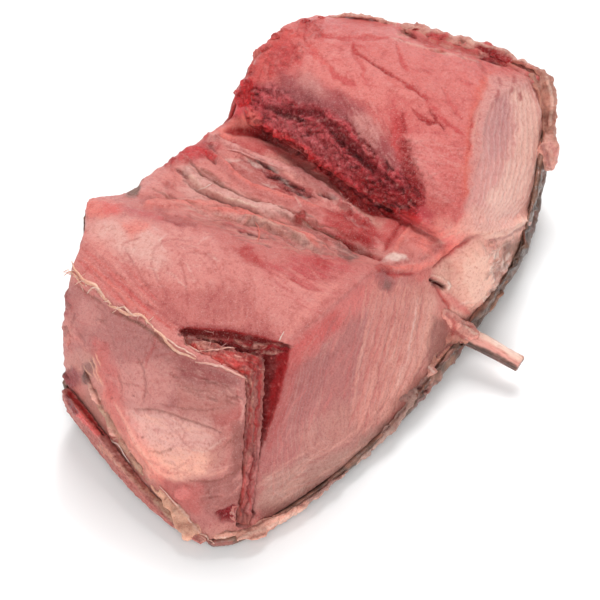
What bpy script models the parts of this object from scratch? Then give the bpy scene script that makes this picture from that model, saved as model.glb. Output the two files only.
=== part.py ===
"""A raw bonito collar lying on its skin: one block of flesh with a front lobe, a groove and a rear lobe,
the skin that wraps it from below, the collar bone's rim and plate, and the sawn stub of the fin bone.

The flesh is a box grid warped into shape. Its top is lofted through stations that run from the near end
(-X) to the far end (+X). The skin and the rim are offset from the same faces, so they always fit.
"""

import math

import bmesh
import bpy
import numpy as np
from mathutils import Vector, noise

MM = 0.001

# The stations of the top, from the near end to the far end, in millimetres.
# Each has the point on the right edge, the point on the left edge, how much the middle is raised above
# the line between them, how far the middle is moved along X, how far along the base it stands, and the
# grid rows up to the next station.
STATIONS = (
    ("near_edge", (-49.0, -12.0, 49.5), (-46.0, 47.0, 56.0), 0.5, -3.0, 0.0, 7),
    ("front_top", (-22.5, -21.5, 55.5), (-33.0, 52.0, 57.5), 2.5, -2.0, 0.15, 5),
    ("front_far_edge", (1.0, -23.5, 51.5), (-21.5, 58.0, 55.5), 2.0, -1.0, 0.28, 2),
    ("front_foot", (7.0, -25.5, 47.0), (-11.5, 54.0, 50.5), 0.5, -1.0, 0.34, 2),
    ("groove_near", (12.0, -26.5, 42.5), (0.0, 54.0, 44.0), -0.5, -1.0, 0.41, 8),
    ("groove_far", (31.0, -26.5, 38.0), (39.0, 48.0, 39.5), -0.5, 2.5, 0.60, 3),
    ("lip", (33.0, -27.0, 42.0), (42.5, 47.5, 46.5), 1.0, -5.0, 0.665, 5),
    ("shoulder", (42.0, -29.5, 48.0), (52.0, 48.5, 52.0), 6.0, -2.0, 0.72, 5),
    ("crest", (58.0, -25.5, 52.0), (63.5, 50.0, 53.0), 5.5, 0.0, 0.785, 5),
    ("far_slope", (79.0, -17.5, 51.0), (79.0, 47.5, 49.5), 3.5, 2.5, 0.88, 4),
    ("far_edge", (101.0, -19.5, 42.0), (89.0, 41.5, 43.0), 0.5, 4.5, 1.0, 0),
)
LAST = len(STATIONS) - 1

# The grid's cells: across the block, up the wall to the band's edge, and from there to the top.
WIDTH_STEPS = 22
BAND_STEPS = 4
WALL_STEPS = 6

# The outline of the base. Each side is a shallow parabola along X, given by where its middle is, how far
# it falls away from there, and over what length. The near right corner and both far corners are rounded
# off, each over a share of the length and by an inset.
BASE_NEAR_X = (-73.5, -55.0)
BASE_NEAR_BOW = 4.8
BASE_FAR_X = (91.0, 83.0)
BASE_FAR_BOW = 3.0
BASE_RIGHT_MIDDLE = (28.0, -43.2, 21.5, 100.0)
BASE_LEFT_MIDDLE = (15.0, 51.0, 11.0, 75.0)
BASE_CORNER_NEAR = (0.10, 5.0)
BASE_CORNERS_FAR = (0.26, 11.0)

# How far the base curves up at its near end, its far end and its left side, and how far out from its
# middle, as a share, the curve starts and would level off.
BASE_RISE_NEAR = 3.0
BASE_RISE_FAR = 12.0
BASE_RISE_LEFT = 10.0
BASE_RISE_FROM = 0.62
BASE_RISE_TO = 1.35

# How far each wall bulges out at half of the bulge's height.
BULGE_HEIGHT = 58.0
BULGE_RIGHT_NEAR = 0.5
BULGE_RIGHT_FAR = 4.5
BULGE_LEFT = 2.0
BULGE_RIGHT_GROWS = (0.2, 0.9)
BULGE_NEAR = 4.5
BULGE_FAR = 4.0
BULGE_SIDE_POWER = 6
BULGE_END_POWER = 10

# The height of the skin's upper edge on the right wall at each station, how far below the top it stops
# on the left wall, and the height of the collar bone's rim at the near wall's left end, from which the
# skin's left edge climbs over the first stations.
SKIN_EDGE_RIGHT = (5.0, 5.5, 6.0, 6.5, 7.5, 12.0, 13.0, 15.0, 16.0, 19.5, 31.0)
SKIN_EDGE_LEFT_BELOW = 5.0
RIM_HEIGHT = 17.0
LEFT_CLIMB_STATIONS = 1.8

# The gaps between the layers and round the plate, how much the rim is trimmed at each end, how far the
# cutters reach past the surface, and how much further the plate's slot does than the plate.
GAP = 0.35
PLATE_GAP = 0.6
RIM_TRIM = 0.9
CUT_REACH = 8.0
SLOT_EXTRA = 1.0

SKIN_THICKNESS = 1.8
RIM_THICKNESS = 2.6
FLAT_Z = GAP + SKIN_THICKNESS

# The membrane ridges that run along the groove: how far across it each one is, its height and half width.
RIDGES = ((0.14, 2.0, 0.09), (0.40, 3.6, 0.10), (0.64, 2.6, 0.07), (0.84, 1.6, 0.06))
RIDGE_SWAY = 0.05
RIDGE_SWAY_SIZE = 26.0

# The lumps of every cut surface, and the crags of the dark meat above the lip.
LUMP_HEIGHT = 0.8
LUMP_SIZE = 17.0
CRAG_HEIGHT = 2.2
CRAG_SIZE = 6.0
CRAG_BEFORE_LIP = 0.8
CRAG_FADES_PAST_LIP = (0.6, 1.6)

# The bone plate between the front block and the main flesh. Its right edge shows on the right wall and
# its top in the top; its left edge is inside the flesh. Each corner has its place and its thickness.
PLATE_RIGHT_TOP = ((-45.3, -13.6, 50.5), 5.0)
PLATE_RIGHT_FOOT = ((-66.5, -19.5, 6.0), 2.8)
PLATE_LEFT_TOP = ((-48.0, 9.0, 54.0), 1.6)
PLATE_LEFT_FOOT = ((-67.0, -6.0, 10.0), 1.2)

# The blood-stained cleft behind the plate: its width at the top, and its depth, on the right and left.
CLEFT_WIDTH = (4.5, 1.4)
CLEFT_DEPTH = (29.0, 9.0)
CLEFT_FOOT_WIDTH = 0.1

# The sawn fin bone: the middle of its inner end and of its tip, and its half width and half height.
FIN_ROOT = (24.0, -33.0, 12.5)
FIN_TIP = (25.8, -61.0, 7.5)
FIN_ROOT_HALF = (3.0, 2.6)
FIN_TIP_HALF = (2.4, 2.0)
FIN_ROOT_FLARE = 0.35
FIN_SQUARENESS = 3
FIN_RINGS = 8
FIN_SIDES = 12

WALLS = ("top", "bottom", "right", "left", "near", "far")
WALL_CODE = 100
SHARP_DEGREES = 40
LEVEL_WITHIN = 1e-7
JOIN_DEGREES = 0.2

FLESH_COLOUR = (0.78, 0.36, 0.33, 1.0)
SKIN_COLOUR = (0.22, 0.22, 0.23, 1.0)
RIM_COLOUR = (0.80, 0.56, 0.45, 1.0)
PLATE_COLOUR = (0.42, 0.06, 0.06, 1.0)
FIN_COLOUR = (0.82, 0.52, 0.42, 1.0)


def material(name, colour, roughness):
    """A plain wet-looking material."""
    made = bpy.data.materials.new(name)
    made.use_nodes = True
    shader = made.node_tree.nodes["Principled BSDF"]
    shader.inputs["Base Color"].default_value = colour
    shader.inputs["Roughness"].default_value = roughness
    return made


def smooth_step(value, low, high):
    """0 below low, 1 above high, and a smooth rise between."""
    share = min(1.0, max(0.0, (value - low) / (high - low)))
    return share * share * (3 - 2 * share)


def mix(a, b, share):
    return a + (b - a) * share


def slope_between(before, after):
    """The slope where two steps meet: their mean, held back so that a curve with it never overshoots."""
    held = np.minimum(np.abs(before + after) / 2, 3 * np.minimum(np.abs(before), np.abs(after)))
    return np.where(before * after > 0, np.sign(before) * held, 0.0)


def through(values, position):
    """The value at a position along a smooth curve through evenly spaced values."""
    index = min(int(position), len(values) - 2)
    share = position - index
    steps = [after - before for before, after in zip(values, values[1:])]
    step = steps[index]
    slope_start = slope_between(steps[index - 1], step) if index > 0 else step
    slope_end = slope_between(step, steps[index + 1]) if index + 1 < len(steps) else step
    square = share * share
    cube = square * share
    return (
        values[index] * (2 * cube - 3 * square + 1)
        + slope_start * (cube - 2 * square + share)
        + values[index + 1] * (3 * square - 2 * cube)
        + slope_end * (cube - square)
    )


RIGHT_EDGE = [np.array(s[1]) for s in STATIONS]
LEFT_EDGE = [np.array(s[2]) for s in STATIONS]
CROWNS = [s[3] for s in STATIONS]
BOWS = [s[4] for s in STATIONS]
BASE_SHARES = [s[5] for s in STATIONS]


def station_named(name):
    return [s[0] for s in STATIONS].index(name)


def top_point(station, side):
    """A point of the top: side runs from -1 at the right edge to 1 at the left edge."""
    share = (side + 1) / 2
    arch = 1 - side * side
    point = mix(through(RIGHT_EDGE, station), through(LEFT_EDGE, station), share)
    point[0] += through(BOWS, station) * arch
    point[2] += through(CROWNS, station) * arch
    return point


def side_outline(x, middle):
    """The y of one side of the base at x, on a parabola given by its middle and its fall."""
    middle_x, middle_y, fall, half_length = middle
    away = (x - middle_x) / half_length
    return middle_y - math.copysign(fall * away * away, middle_y)


def corner_inset(from_end, corners):
    """How far the base's sides are drawn in at a distance from one end, to round its corners."""
    length, inset = corners
    share = max(0.0, 1 - from_end / length)
    return inset * (1 - math.sqrt(1 - share * share))


def base_point(station, side):
    """The point of the base below top_point(station, side)."""
    share = (side + 1) / 2
    along = through(BASE_SHARES, station)
    arch = 1 - side * side
    near_x = mix(*BASE_NEAR_X, share) - BASE_NEAR_BOW * arch
    far_x = mix(*BASE_FAR_X, share) + BASE_FAR_BOW * arch
    x = mix(near_x, far_x, along)
    right = side_outline(x, BASE_RIGHT_MIDDLE)
    left = side_outline(x, BASE_LEFT_MIDDLE)
    inset = corner_inset(1 - along, BASE_CORNERS_FAR)
    right += inset + corner_inset(along, BASE_CORNER_NEAR)
    y = mix(right, left - inset, share)
    rise = mix(mix(BASE_RISE_NEAR, BASE_RISE_FAR, along), BASE_RISE_LEFT, share)
    edge = max(abs(side), abs(2 * along - 1))
    z = FLAT_Z + rise * smooth_step(edge, BASE_RISE_FROM, BASE_RISE_TO)
    return np.array((x, y, z))


def band_height(station, side):
    """The height of the line that ends the skin on the side walls, and the rim on the near wall."""
    right = through(SKIN_EDGE_RIGHT, station)
    below_top = top_point(station, 1.0)[2] - SKIN_EDGE_LEFT_BELOW
    left = mix(RIM_HEIGHT, below_top, smooth_step(station, 0.0, LEFT_CLIMB_STATIONS))
    return mix(right, left, smooth_step(side, -1.0, 1.0))


def row_share(station, side, row):
    """How far up the wall a grid row lies, with one row exactly on the band's edge."""
    low = base_point(station, side)[2]
    high = top_point(station, side)[2]
    edge = (band_height(station, side) - low) / (high - low)
    if row <= BAND_STEPS:
        return edge * row / BAND_STEPS
    return mix(edge, 1.0, (row - BAND_STEPS) / WALL_STEPS)


def body_point(station, side, share):
    """A point of the block, share of the way up from its base to its top."""
    point = mix(base_point(station, side), top_point(station, side), share)
    along = through(BASE_SHARES, station)
    level = point[2] / BULGE_HEIGHT
    arch = max(0.0, 4 * level * (1 - level))
    across = abs(side) ** BULGE_SIDE_POWER
    ends = abs(2 * along - 1) ** BULGE_END_POWER
    right = mix(BULGE_RIGHT_NEAR, BULGE_RIGHT_FAR, smooth_step(along, *BULGE_RIGHT_GROWS))
    point[1] += arch * across * (BULGE_LEFT if side > 0 else -right)
    point[0] += arch * ends * (BULGE_FAR if along > 0.5 else -BULGE_NEAR)
    return point


def grid_stations():
    """The station coordinate of each grid row along the block."""
    rows = []
    for index, station in enumerate(STATIONS[:-1]):
        steps = station[6]
        rows += [index + step / steps for step in range(steps)]
    return rows + [float(LAST)]


def ridges(point, station):
    """The height of the membrane ridges that run along the groove."""
    start = station_named("front_foot")
    end = station_named("groove_far")
    sway = RIDGE_SWAY * noise.noise(Vector((point[1] / RIDGE_SWAY_SIZE, 0.0, 0.0)))
    share = (station - start) / (end - start) + sway
    return sum(height * math.exp(-(((share - place) / width) ** 2)) for place, height, width in RIDGES)


def relief(point, station, on_top):
    """How far a point of the cut surface stands above the plain form."""
    lump = noise.noise(Vector(point) / LUMP_SIZE) * LUMP_HEIGHT
    if not on_top:
        return lump
    lip = station_named("lip")
    fading = smooth_step(station - lip, *CRAG_FADES_PAST_LIP)
    crag_share = smooth_step(station, lip - CRAG_BEFORE_LIP, lip) * (1 - fading)
    crag = noise.noise(Vector(point) / CRAG_SIZE) * CRAG_HEIGHT * crag_share
    return lump + crag + ridges(point, station)


def new_object(name, made_mesh, finish):
    made = bpy.data.objects.new(name, made_mesh)
    bpy.context.scene.collection.objects.link(made)
    made.data.materials.append(finish)
    made.data.shade_smooth()
    made.data.set_sharp_from_angle(angle=math.radians(SHARP_DEGREES))
    return made


def warped_block():
    """The whole block as a bmesh, with a face layer that names the wall each face is on, and its row."""
    stations = grid_stations()
    last_row = len(stations) - 1
    top_row = BAND_STEPS + WALL_STEPS
    shape = bmesh.new()
    wall_layer = shape.faces.layers.int.new("wall")
    corners = {}

    def corner(i, j, k):
        if (i, j, k) not in corners:
            station = stations[i]
            side = 2 * j / WIDTH_STEPS - 1
            point = body_point(station, side, row_share(station, side, k))
            on_top = k == top_row and 0 < j < WIDTH_STEPS and 0 < i < last_row
            if k > BAND_STEPS:
                rise = relief(point, station, on_top) * (k - BAND_STEPS) / WALL_STEPS
                if on_top:
                    point[2] += rise
                elif k < top_row:
                    point[1] += rise * (j == WIDTH_STEPS) - rise * (j == 0)
                    point[0] += rise * (i == last_row) - rise * (i == 0)
            corners[i, j, k] = shape.verts.new(point * MM)
        return corners[i, j, k]

    def wall(name, rows, columns, place):
        for r in range(rows):
            for c in range(columns):
                ring = [corner(*place(r + dr, c + dc)) for dr, dc in ((0, 0), (0, 1), (1, 1), (1, 0))]
                face = shape.faces.new(ring)
                face[wall_layer] = WALLS.index(name) * WALL_CODE + c

    wall("top", last_row, WIDTH_STEPS, lambda r, c: (r, c, top_row))
    wall("bottom", last_row, WIDTH_STEPS, lambda r, c: (r, c, 0))
    wall("right", last_row, top_row, lambda r, c: (r, 0, c))
    wall("left", last_row, top_row, lambda r, c: (r, WIDTH_STEPS, c))
    wall("near", WIDTH_STEPS, top_row, lambda r, c: (0, r, c))
    wall("far", WIDTH_STEPS, top_row, lambda r, c: (last_row, r, c))
    bmesh.ops.recalc_face_normals(shape, faces=shape.faces)
    return shape, wall_layer


def wall_of(face, layer):
    """The wall a face is on, and its row above the base."""
    return WALLS[face[layer] // WALL_CODE], face[layer] % WALL_CODE


def join_flat_bottom(shape):
    """Turns the level middle of the base into as few faces as it needs."""
    level = [f for f in shape.faces if all(abs(v.co.z - FLAT_Z * MM) < LEVEL_WITHIN for v in f.verts)]
    edges = {e for f in level for e in f.edges}
    bmesh.ops.dissolve_limit(
        shape,
        angle_limit=math.radians(JOIN_DEGREES),
        verts=[],
        edges=list(edges),
    )


def to_mesh(name, shape):
    made = bpy.data.meshes.new(name)
    shape.to_mesh(made)
    shape.free()
    return made


def block_faces(keep):
    """The block's chosen faces as a bmesh: those for which keep(wall, row) is true."""
    shape, layer = warped_block()
    join_flat_bottom(shape)
    unwanted = [f for f in shape.faces if not keep(*wall_of(f, layer))]
    bmesh.ops.delete(shape, geom=unwanted, context="FACES")
    return shape


def covering(name, shape, thickness, finish):
    """A layer of some thickness that lies a small gap outside the faces of a bmesh."""
    shape.normal_update()
    for vertex in shape.verts:
        vertex.co += vertex.normal * GAP * MM
    made = new_object(name, to_mesh(name, shape), finish)
    solidify = made.modifiers.new("thickness", "SOLIDIFY")
    solidify.thickness = thickness * MM
    solidify.offset = 1.0
    solidify.use_even_offset = False
    return made


def add_skin():
    """The skin below the flesh and up its left, far and right walls, as far as its cut edge."""

    def keep(wall, row):
        return wall == "bottom" or (wall in ("right", "left", "far") and row < BAND_STEPS)

    return covering("skin", block_faces(keep), SKIN_THICKNESS, material("skin", SKIN_COLOUR, 0.35))


def add_rim():
    """The collar bone's rim, along the foot of the near wall, trimmed at both ends to clear the skin."""

    def keep(wall, row):
        return wall == "near" and row < BAND_STEPS

    shape = block_faces(keep)
    across = [v.co.y for v in shape.verts]
    for end, outward in ((min(across), -1), (max(across), 1)):
        bmesh.ops.bisect_plane(
            shape,
            geom=shape.verts[:] + shape.edges[:] + shape.faces[:],
            plane_co=(0, end - outward * RIM_TRIM * MM, 0),
            plane_no=(0, outward, 0),
            clear_outer=True,
        )
    return covering("collar_bone", shape, RIM_THICKNESS, material("collar_bone", RIM_COLOUR, 0.4))


def plate_axes():
    """The directions in which the plate runs up, out to the right wall, and away from the near end."""
    upward = Vector(PLATE_RIGHT_TOP[0]) - Vector(PLATE_RIGHT_FOOT[0])
    outward = Vector(PLATE_RIGHT_TOP[0]) - Vector(PLATE_LEFT_TOP[0])
    behind = upward.cross(outward)
    if behind.x < 0:
        behind.negate()
    return upward.normalized(), outward.normalized(), behind.normalized()


def slab(corners):
    """A closed bmesh over four corners, each with its places on the slab's near side and far side."""
    shape = bmesh.new()
    rings = [[shape.verts.new(place * MM) for place in corner] for corner in corners]
    shape.faces.new([ring[0] for ring in rings])
    shape.faces.new([ring[1] for ring in reversed(rings)])
    for ring, after in zip(rings, rings[1:] + rings[:1]):
        shape.faces.new((ring[0], ring[1], after[1], after[0]))
    bmesh.ops.recalc_face_normals(shape, faces=shape.faces)
    return shape


def plate_shape(clearance, reach):
    """The bone plate as a bmesh. A clearance, and a reach up and out of the flesh, make it its slot."""
    upward, outward, behind = plate_axes()
    corners = []
    for (place, thickness), out, up in (
        (PLATE_RIGHT_TOP, reach, reach),
        (PLATE_LEFT_TOP, -clearance, reach),
        (PLATE_LEFT_FOOT, -clearance, -clearance),
        (PLATE_RIGHT_FOOT, reach, -clearance),
    ):
        middle = Vector(place) + outward * out + upward * up
        half = behind * (thickness / 2 + clearance)
        corners.append((middle - half, middle + half))
    return slab(corners)


def cleft_shape(reach):
    """The cleft behind the plate as a bmesh: a wedge that narrows downward and to the left."""
    upward, outward, behind = plate_axes()
    corners = []
    for (place, thickness), width, depth, out in (
        (PLATE_RIGHT_TOP, CLEFT_WIDTH[0], CLEFT_DEPTH[0], reach),
        (PLATE_LEFT_TOP, CLEFT_WIDTH[1], CLEFT_DEPTH[1], 0.0),
    ):
        face = Vector(place) + behind * (thickness / 2) + outward * out
        slope = width / depth
        high = face + upward * reach
        low = face - upward * depth
        high_behind = high + behind * (width + slope * reach)
        low_behind = low + behind * CLEFT_FOOT_WIDTH
        corners.append(((high, high_behind), (low, low_behind)))
    (right_high, right_low), (left_high, left_low) = corners
    return slab((right_high, left_high, left_low, right_low))


def fin_shape(clearance):
    """The fin bone as a bmesh: a bar of flattened rings from its root to its sawn tip."""
    root, tip = Vector(FIN_ROOT), Vector(FIN_TIP)
    axis = (tip - root).normalized()
    across = axis.cross(Vector((0, 0, 1))).normalized()
    upward = across.cross(axis)
    shape = bmesh.new()
    rings = []
    for index in range(FIN_RINGS):
        share = index / (FIN_RINGS - 1)
        flare = 1 + FIN_ROOT_FLARE * (1 - share) ** 3
        half_width = mix(FIN_ROOT_HALF[0], FIN_TIP_HALF[0], share) * flare + clearance
        half_height = mix(FIN_ROOT_HALF[1], FIN_TIP_HALF[1], share) * flare + clearance
        centre = root.lerp(tip, share) - axis * (clearance * (1 - share))
        ring = []
        for side in range(FIN_SIDES):
            angle = 2 * math.pi * side / FIN_SIDES
            sideways, up = math.cos(angle), math.sin(angle)
            size = (abs(sideways) ** FIN_SQUARENESS + abs(up) ** FIN_SQUARENESS) ** (1 / FIN_SQUARENESS)
            point = centre + across * (sideways / size * half_width) + upward * (up / size * half_height)
            ring.append(shape.verts.new(point * MM))
        rings.append(ring)
    for ring, after in zip(rings, rings[1:]):
        for side in range(FIN_SIDES):
            around = (side + 1) % FIN_SIDES
            shape.faces.new((ring[side], ring[around], after[around], after[side]))
    shape.faces.new(rings[0])
    shape.faces.new(rings[-1])
    bmesh.ops.recalc_face_normals(shape, faces=shape.faces)
    return shape


def cutter(name, shape):
    made = bpy.data.objects.new(name, to_mesh(name, shape))
    bpy.context.scene.collection.objects.link(made)
    made.hide_render = True
    made.display_type = "WIRE"
    return made


def combine(target, tool, operation):
    boolean = target.modifiers.new(tool.name, "BOOLEAN")
    boolean.operation = operation
    boolean.solver = "EXACT"
    boolean.object = tool


def add_flesh():
    shape, _ = warped_block()
    join_flat_bottom(shape)
    return new_object("flesh", to_mesh("flesh", shape), material("flesh", FLESH_COLOUR, 0.35))


def add_plate():
    """The plate, longer than it should be at its top and right, to be trimmed flush with the flesh."""
    shape = plate_shape(0.0, CUT_REACH)
    return new_object("bone_plate", to_mesh("bone_plate", shape), material("bone_plate", PLATE_COLOUR, 0.4))


def add_fin():
    shape = fin_shape(0.0)
    return new_object("fin_bone", to_mesh("fin_bone", shape), material("fin_bone", FIN_COLOUR, 0.45))


def centre_on_base(parts):
    """Moves every part so that the origin is the middle of the whole thing's base."""
    graph = bpy.context.evaluated_depsgraph_get()
    points = []
    for part in parts:
        shown = part.evaluated_get(graph)
        points += [shown.matrix_world @ v.co for v in shown.data.vertices]
    low = Vector(min(p[axis] for p in points) for axis in range(3))
    high = Vector(max(p[axis] for p in points) for axis in range(3))
    holder = bpy.data.objects.new("collar", None)
    bpy.context.scene.collection.objects.link(holder)
    holder.location = (-(low.x + high.x) / 2, -(low.y + high.y) / 2, -low.z)
    for made in bpy.context.scene.objects:
        if made is not holder:
            made.parent = holder


def main():
    for old in list(bpy.data.objects):
        bpy.data.objects.remove(old)
    flesh = add_flesh()
    skin = add_skin()
    rim = add_rim()
    plate = add_plate()
    fin = add_fin()
    whole = cutter("whole_block", warped_block()[0])
    slot = cutter("plate_slot", plate_shape(PLATE_GAP, CUT_REACH + SLOT_EXTRA))
    cleft = cutter("plate_cleft", cleft_shape(CUT_REACH))
    socket = cutter("fin_socket", fin_shape(GAP))
    combine(plate, whole, "INTERSECT")
    combine(flesh, slot, "DIFFERENCE")
    combine(flesh, cleft, "DIFFERENCE")
    combine(flesh, socket, "DIFFERENCE")
    combine(skin, socket, "DIFFERENCE")
    centre_on_base((flesh, skin, rim, plate, fin))


main()
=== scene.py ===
"""A raw bonito collar: cut flesh in two lobes with a groove between them, its skin, bones and membranes.

Lengths are in millimetres until a mesh is written. Marks are placed by pixels of a fixed view, and each
lands on the surface that shows there.
"""

import math

import bmesh
import bpy
import numpy as np
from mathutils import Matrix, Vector
from mathutils.bvhtree import BVHTree
from mathutils.kdtree import KDTree


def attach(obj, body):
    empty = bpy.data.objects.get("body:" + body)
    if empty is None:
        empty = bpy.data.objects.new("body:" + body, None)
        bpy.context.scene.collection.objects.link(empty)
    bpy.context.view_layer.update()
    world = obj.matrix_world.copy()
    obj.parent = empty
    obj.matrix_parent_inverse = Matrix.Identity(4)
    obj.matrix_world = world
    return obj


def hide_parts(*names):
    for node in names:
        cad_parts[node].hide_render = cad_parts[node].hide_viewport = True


# A millimetre in metres, and a metre in millimetres.
MM = 0.001
METRE = 1000.0

# The fixed view: its direction and distance, the point it looks at, and its scale at that point.
VIEW_AZIMUTH = -58.0
VIEW_ELEVATION = 50.0
VIEW_DISTANCE = 900.0
VIEW_TARGET = np.array([-13.58, 0.65, 25.0])
VIEW_SCALE = 3.4
VIEW_SIZE = 600.0
SENSOR = 36.0

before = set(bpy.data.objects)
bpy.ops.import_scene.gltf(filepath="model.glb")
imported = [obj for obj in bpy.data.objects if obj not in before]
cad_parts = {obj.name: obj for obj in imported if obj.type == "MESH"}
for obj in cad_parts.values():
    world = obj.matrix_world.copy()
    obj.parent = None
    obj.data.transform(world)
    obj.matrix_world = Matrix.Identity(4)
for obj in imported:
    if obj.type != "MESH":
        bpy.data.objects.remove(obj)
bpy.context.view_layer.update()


def view_axes():
    """The right, up and back directions of the fixed view."""
    a, e = math.radians(VIEW_AZIMUTH), math.radians(VIEW_ELEVATION)
    back = np.array([math.sin(a) * math.cos(e), -math.cos(a) * math.cos(e), math.sin(e)])
    right = np.cross([0.0, 0.0, 1.0], back)
    right /= np.linalg.norm(right)
    return right, np.cross(back, right), back


RIGHT, UP, BACK = view_axes()
EYE = VIEW_TARGET + BACK * VIEW_DISTANCE


def to_pixels(points):
    """Where points in millimetres fall in the fixed view."""
    d = points - VIEW_TARGET
    scale = VIEW_SCALE * VIEW_DISTANCE / (VIEW_DISTANCE - d @ BACK)
    half = VIEW_SIZE / 2
    return np.stack([half + (d @ RIGHT) * scale, half - (d @ UP) * scale], 1)


def ray_of(px, py):
    """The direction from the eye through a pixel of the fixed view."""
    half = VIEW_SIZE / 2
    reach = VIEW_SCALE * VIEW_DISTANCE
    d = -BACK + RIGHT * (px - half) / reach + UP * (half - py) / reach
    return d / np.linalg.norm(d)


# Noise

# The last cell before the noise repeats, how far a seed moves it, and what brings it and its creases to
# about 1.
WRAP = 255
SEED_STEP = 13.7
NOISE_GAIN = 1.6
CREASE_GAIN = 2.2
GRAIN = np.random.default_rng(7)
SHUFFLE = GRAIN.permutation(WRAP + 1)
SLOPES = GRAIN.normal(size=(WRAP + 1, 3))
SLOPES /= np.linalg.norm(SLOPES, axis=1)[:, None]


def noise(points, size, seed=0.0):
    """Smooth noise of about -1 to 1, with features of that size."""
    q = points / size + seed * SEED_STEP
    cell = np.floor(q).astype(np.int64)
    part = q - cell
    ease = part ** 3 * (part * (part * 6 - 15) + 10)
    total = np.zeros(len(q))
    for corner in ((i, j, k) for i in (0, 1) for j in (0, 1) for k in (0, 1)):
        at = cell + corner
        index = SHUFFLE[(SHUFFLE[(SHUFFLE[at[:, 0] & WRAP] + at[:, 1]) & WRAP] + at[:, 2]) & WRAP]
        weight = np.prod(np.where(np.array(corner) == 1, ease, 1 - ease), axis=1)
        total += weight * np.einsum("ij,ij->i", SLOPES[index], part - corner)
    return total * NOISE_GAIN


def layered(points, size, seed=0.0, layers=3, keep=0.5):
    """Several layers of noise, each half the size of the last."""
    total, share, weight = 0.0, 1.0, 0.0
    for k in range(layers):
        total = total + share * noise(points, size / 2 ** k, seed + k)
        weight += share
        share *= keep
    return total / weight


def creased(points, size, seed=0.0, layers=2):
    """Noise with sharp valleys, 0 in the valleys and up to 1 on the humps."""
    return np.abs(layered(points, size, seed, layers)) * CREASE_GAIN


def smooth_step(low, high, value):
    t = np.clip((value - low) / (high - low), 0, 1)
    return t * t * (3 - 2 * t)


def linear(colour):
    """An 8-bit screen colour as linear light."""
    c = np.array(colour, float) / 255
    return np.where(c <= 0.04045, c / 12.92, ((c + 0.055) / 1.055) ** 2.4)


def points_of(places):
    """Pixels of the fixed view as an array; a text has them as x,y with spaces between."""
    if isinstance(places, str):
        places = [pair.split(",") for pair in places.split()]
    return np.array(places, float)


def line_distance(pixels, points):
    """How far each pixel is from a broken line, and how far along the line the nearest place is."""
    best = np.full(len(pixels), 1e9)
    along = np.zeros(len(pixels))
    points = points_of(points)
    lengths = np.linalg.norm(np.diff(points, axis=0), axis=1)
    walked = 0.0
    for a, b, length in zip(points[:-1], points[1:], lengths):
        t = np.clip((pixels - a) @ (b - a) / length ** 2, 0, 1)
        gap = np.linalg.norm(pixels - a - t[:, None] * (b - a), axis=1)
        nearer = gap < best
        best[nearer] = gap[nearer]
        along[nearer] = (walked + t[nearer] * length) / lengths.sum()
        walked += length
    return best, along


# The right side's foot, which curves in under the flesh: places along its outline in the fixed view, how
# many pixels the foot lies inside the solid's there, and how high and how deep the curve reaches.
TUCK_LINE = ("560,150 548,200 530,240 518,275 505,300 490,320 470,348 455,365 440,385 415,420 375,460 "
             "345,490")
TUCK_PIXELS = (0, 3, 8, 11, 13, 13, 11, 9, 8, 5, 2, 0)
TUCK_HEIGHT = 24.0
TUCK_DEPTH = (8.0, 60.0)
# The way in: its share to the right, and its share away from the eye along the floor.
TUCK_WAY = (-0.86, 0.51)


def tucked(points):
    """Points in millimetres with the foot of the right side drawn in."""
    pixels = to_pixels(points)
    gap, along = line_distance(pixels, TUCK_LINE)
    steps = np.linalg.norm(np.diff(points_of(TUCK_LINE), axis=0), axis=1)
    places = np.concatenate([[0], np.cumsum(steps)]) / steps.sum()
    shift = np.interp(along, places, TUCK_PIXELS)
    low = 1 - smooth_step(0.0, TUCK_HEIGHT, points[:, 2])
    near = 1 - smooth_step(*TUCK_DEPTH, gap)
    across, away = TUCK_WAY
    flat = (BACK[0] ** 2 + BACK[1] ** 2) ** 0.5
    inward = across * RIGHT + away * np.array([-BACK[0], -BACK[1], 0.0]) / flat / BACK[2]
    return points + (shift * low * near / VIEW_SCALE)[:, None] * inward


# Surfaces as arrays


# How far a value moves to its neighbours' mean in a round, and how far off the surface and towards the eye a
# line of sight starts.
SPREAD = 0.5
SIGHT_LIFT = (0.35, 0.3)
GRAZING = -0.05
# Vertices nearer than this, in metres, are joined, and how much a hidden vertex counts when faces are merged.
SAME_PLACE = 1e-7
HIDDEN_FACTOR = 10.0


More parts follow.
